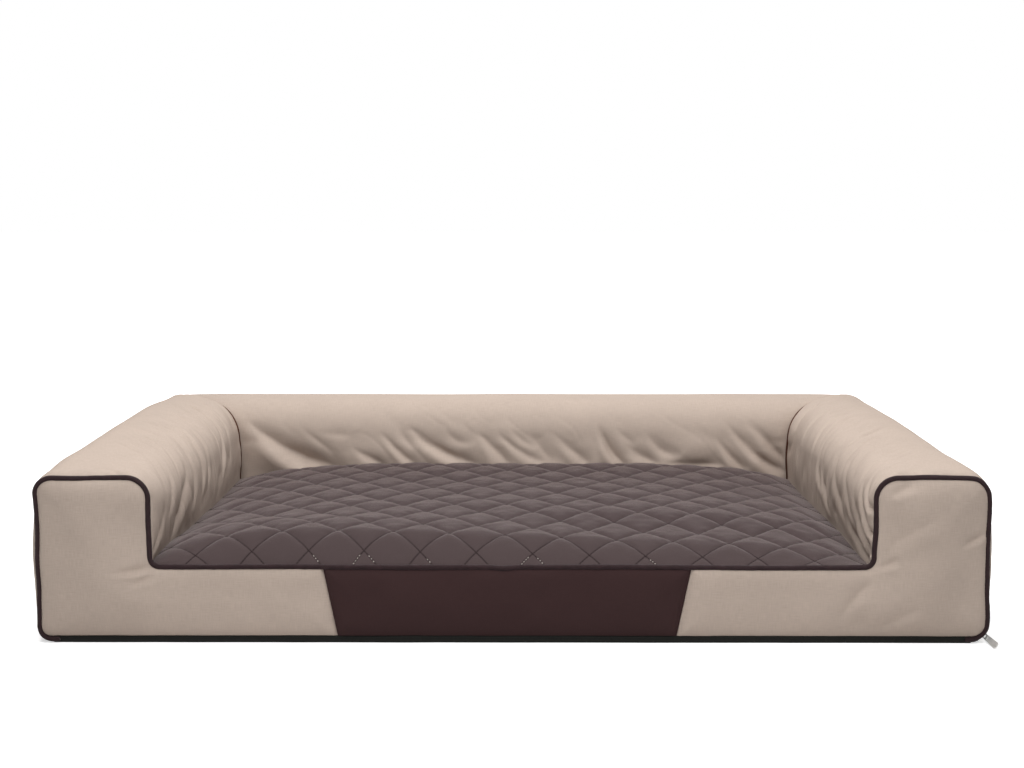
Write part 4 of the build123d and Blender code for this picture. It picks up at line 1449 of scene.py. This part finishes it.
def edge_reach(height):
    """Distance inside the bed's outer face where the rounded lower edge has a height."""
    return bottom_edge_radius - math.sqrt(bottom_edge_radius**2 - (bottom_edge_radius - height) ** 2)


def base_sheet():
    """The black non-slip cloth, flat below and turned up round the sides and back."""
    rim = edge_reach(base_rim_height)
    zip_rim = edge_reach(zip_window_rim_z)
    edge = np.linspace(0, bottom_edge_radius, base_columns[0])
    inner = np.linspace(bottom_edge_radius, bed_width - bottom_edge_radius, base_columns[1])[1:-1]
    across = np.concatenate([edge, inner, bed_width - edge[::-1]]) / bed_width
    y = np.concatenate([
        np.linspace(body_front_y, back_y - bottom_edge_radius, base_rows[0])[:-1],
        np.linspace(back_y - bottom_edge_radius, back_y - rim, base_rows[1]),
    ])
    beside_zip = 1 - smooth_step(y, *(zip_high[1] + end for end in base_zip_ends))
    right = half_width - rim - (zip_rim - rim) * beside_zip
    left = -half_width + rim
    x = left + across[None, :] * (right - left)[:, None]
    y = np.broadcast_to(y[:, None], x.shape)
    z = np.maximum(edge_height(half_width - np.abs(x)), edge_height(back_y - y))
    piece = grid_piece("base_cloth", np.stack([x, y, z], axis=2), x, y, base_cloth_thickness, flip=True)
    dress(piece, base_cloth, "black_base_fabric", "base_panel")


def base_strip():
    """The base cloth's turned-up front edge, which shows as a black strip below the panels."""
    half = outline_side - outer_bottom_radius + strip_overlap
    profile = resample(rounded_path([
        (body_front_y + strip_overlap, 0, 0),
        (strip_y, 0, strip_radii[0]),
        (strip_y, strip_top, strip_radii[1]),
        (strip_y + strip_turn_in, strip_top, 0),
    ]), strip_counts[1])
    x = np.linspace(-half, half, strip_counts[0])[:, None]
    profile_y, profile_z = profile[None, :, 0], profile[None, :, 1]
    y = profile_y + 0.45 * soft_noise(x / 45, 0, 91)
    z = profile_z + 0.5 * (profile_z / strip_top) * soft_noise(x / 30, 0, 92)
    points = np.stack(np.broadcast_arrays(x, y, z), axis=2)
    piece = grid_piece("base_front_strip", points, x, profile_z)
    dress(piece, base_cloth, "black_base_fabric")


def rounded_block(name, low, high, radius, spacing):
    """A block of foam with rounded edges, as one closed mesh."""
    lines = [np.linspace(low[k], high[k], max(3, int((high[k] - low[k]) / spacing[k]))) for k in range(3)]
    points = []
    faces = []
    for axis in range(3):
        for end in (0, 1):
            first, second = [k for k in range(3) if k != axis]
            a, b = lines[first], lines[second]
            grid = np.zeros((len(a), len(b), 3))
            grid[:, :, first] = a[:, None]
            grid[:, :, second] = b[None, :]
            grid[:, :, axis] = (low, high)[end][axis]
            flip = (end == 1) == (axis != 1)
            faces += (grid_faces(len(a), len(b), flip=flip) + sum(len(p) for p in points)).tolist()
            points.append(grid.reshape(-1, 3))
    points = np.concatenate(points)
    inner = np.clip(points, np.array(low) + radius, np.array(high) - radius)
    return mesh_piece(name, inner + unit(points - inner + 1e-9) * radius, faces)


def foam_pieces():
    """The base slab and the softer topper."""
    corners = slab_low + slab_inset, slab_high - slab_inset
    slab = rounded_block("base_foam", *corners, slab_edge_radius, slab_spacing)
    dress(slab, slab_foam, "foam", "foam_base_slab", fill=1.0)
    shares = np.linspace(-topper_width_share, topper_width_share, topper_counts[0])
    y = np.linspace(body_front_y + topper_margins[0], quilt_back_y - topper_margins[1], topper_counts[1])
    shares, y = np.meshgrid(shares, y)
    x = shares * quilt_half_width(y)
    points = np.stack([x, y, channel_height(x, y) - quilt_thickness - topper_depth], axis=2)
    topper = grid_piece("foam_topper_pad", points, x, y, topper_thickness)
    dress(topper, topper_foam, "memory_foam", "foam_topper", fill=1.0)


# Zip: the tape's section beside the teeth as (across, out, radius)

zip_degrees = 32.0
zip_depth = 3.3
tape_section = [(4.2, 0, 0), (5.9, 0, 1.0), (8.2, -3.2, 1.5), (11.5, -4.8, 0)]
tape_section_count = 16
tape_count = 372
tape_thickness = 0.9
tape_rise = 0.45
tape_ripple = 0.12


def zip_points(across, along, out):
    """Places in the zip's own frame as places in the bed's."""
    angle = math.radians(zip_degrees)
    radius = bottom_edge_radius - zip_depth + out
    x = half_width - bottom_edge_radius + radius * math.cos(angle) - across * math.sin(angle)
    z = bottom_edge_radius - radius * math.sin(angle) - across * math.cos(angle)
    return np.stack(np.broadcast_arrays(x, along, z), axis=-1)


def zip_tapes():
    """Woven tapes beside the teeth, folded in behind the hem and the rim."""
    along = np.linspace(zip_low[1], zip_high[1], tape_count)[:, None]
    line = resample(rounded_path(tape_section), tape_section_count)[None, :]
    for side, name in ((-1, "upper"), (1, "lower")):
        ripple = tape_ripple * soft_noise(along / 9, 0, 95 + side)
        points = zip_points(side * line[:, :, 0], along, line[:, :, 1] + tape_rise + ripple)
        piece = grid_piece(f"zip_tape_{name}_cloth", points, line[:, :, 0], along, tape_thickness,
                           flip=side > 0)
        dress(piece, tape_cloth, "zip_tape", f"zipper_tape_{name}")


def zip_hardware():
    """Finer materials on the solids of the teeth, the stops, the slider and its pull."""
    for material, nodes in (
        (zip_plastic, ("zipper_teeth_upper", "zipper_teeth_lower")),
        (zip_metal, ("zipper_top_stops", "zipper_bottom_stop", "zipper_slider", "zipper_pull")),
    ):
        for node in nodes:
            materials = frame["nodes"][node].data.materials
            materials.clear()
            materials.append(material)


# Topstitching above the covers' hems

hem_stitch = Stitch(3.0, 0.4)
hem_stitch_pitch = 4.4
hem_stitch_margin = 4
hem_stitch_rise = 0.2
hem_distance = 5.0


def hem_row(points, normals):
    """Places of a cover's stitches above its hem, with their directions and normals."""
    rows = []
    for line in np.concatenate([points, normals], axis=2):
        lengths = run_lengths(line[:, :3])
        rows.append(at_lengths([lengths[-1] - hem_distance], lengths, line)[0])
    rows = np.array(rows)
    lengths = run_lengths(rows[:, :3])
    spots = np.arange(hem_stitch_margin, lengths[-1] - hem_stitch_margin, hem_stitch_pitch)
    places = at_lengths(spots, lengths, rows)
    outwards = unit(places[:, 3:])
    return places[:, :3] + hem_stitch_rise * outwards, unit(np.gradient(places[:, :3], axis=0)), outwards


def hem_stitches(covers):
    """Topstitching above the hems of the three covers."""
    rows = [hem_row(*cover) for cover in covers]
    places, directions, normals = (np.concatenate(column) for column in zip(*rows))
    stitches("hem_thread", places, directions, normals, hem_stitch, beige_thread, "beige_fabric")


# Floor, light and camera

floor_size = 30.0
floor_colour = (0.8, 0.8, 0.8, 1)
floor_glow = (0.6, 1.0)
floor_glow_from = (0.9, 1.8)
world_strength = 0.04
Lamp = namedtuple("Lamp", "name place target size power")
lamps = [
    Lamp("overhead", (0.0, 0.2, 2.4), (0, 0, 0), (2.8, 1.8), 56),
    Lamp("front_key", (0.0, -1.3, 2.2), (0, 0, 0.1), (1.6, 1.0), 38),
    Lamp("front_fill", (0.0, -3.2, 1.0), (0, 0, 0.1), (1.4, 1.0), 10),
    Lamp("back_fill", (0.0, 2.8, 1.3), (0, 0, 0.1), (2.0, 1.2), 14),
]
image_width = 1024
focal_pixels = 1630.16
sensor_width = 36.0
camera_place = (7.54, -2401.24, 583.94)
camera_pitch = 0.126043
camera_yaw = 0.003682


def floor():
    """A plain pale floor that reads as white to the camera and keeps the shadow."""
    mesh = bpy.data.meshes.new("floor")
    half = floor_size / 2
    corners = [(-half, -half, 0), (half, -half, 0), (half, half, 0), (-half, half, 0)]
    mesh.from_pydata(corners, [], [(0, 1, 2, 3)])
    nodes = Nodes("floor_white", 0.9, specular=0.0)
    nodes.shader.inputs["Base Color"].default_value = floor_colour
    place = nodes.add("VectorMath", operation="LENGTH")
    nodes.join(nodes.coords, place.inputs[0])
    glow = nodes.spread(place.outputs["Value"], *floor_glow, *floor_glow_from)
    lift = nodes.add("Emission")
    nodes.join(nodes.math("MULTIPLY", nodes.seen(), glow), lift.inputs["Strength"])
    both = nodes.add("AddShader")
    nodes.join(nodes.shader.outputs[0], both.inputs[0])
    nodes.join(lift.outputs[0], both.inputs[1])
    nodes.join(both.outputs[0], nodes.tree.nodes["Material Output"].inputs["Surface"])
    mesh.materials.append(nodes.material)
    linked("floor", mesh)


def world():
    """White to the camera, a softer even light to the object."""
    studio = bpy.data.worlds.new("studio")
    studio.use_nodes = True
    tree = Tree(studio.node_tree)
    background = tree.tree.nodes["Background"]
    background.inputs["Color"].default_value = white
    tree.join(tree.spread(tree.seen(), world_strength, 1.0), background.inputs["Strength"])
    bpy.context.scene.world = studio


def aim(piece, place, direction):
    """Puts a lamp or camera at a place, facing along a direction."""
    piece.location = place
    piece.rotation_euler = Vector(direction).to_track_quat("-Z", "Y").to_euler()


def lights():
    """Soft boxes above, in front and behind."""
    for lamp in lamps:
        light = bpy.data.lights.new(lamp.name, "AREA")
        light.shape = "RECTANGLE"
        light.size, light.size_y = lamp.size
        light.energy = lamp.power
        aim(linked(lamp.name, light), lamp.place, Vector(lamp.target) - Vector(lamp.place))


def camera():
    """The photograph's viewpoint: low, in front, a little right of the middle."""
    lens = bpy.data.cameras.new("camera")
    lens.sensor_width = sensor_width
    lens.lens = focal_pixels / image_width * sensor_width
    lens.clip_start = 0.05
    lens.clip_end = 100
    piece = linked("camera", lens)
    aim(piece, Vector(camera_place) * MM, (
        -math.sin(camera_yaw) * math.cos(camera_pitch),
        math.cos(camera_yaw) * math.cos(camera_pitch),
        -math.sin(camera_pitch),
    ))
    bpy.context.scene.camera = piece


camera()
lights()
world()
floor()
arm_covers = [arm_cover(arm) for arm in arms]
hem_stitches(arm_covers + [back_cover()])
seam_shadow_cords(arm_covers)
bolster_cores()
quilted_top()
quilt_stitches()
front_piping()
front_panels()
base_sheet()
base_strip()
foam_pieces()
zip_tapes()
zip_hardware()

bpy.context.scene.view_settings.view_transform = "Standard"
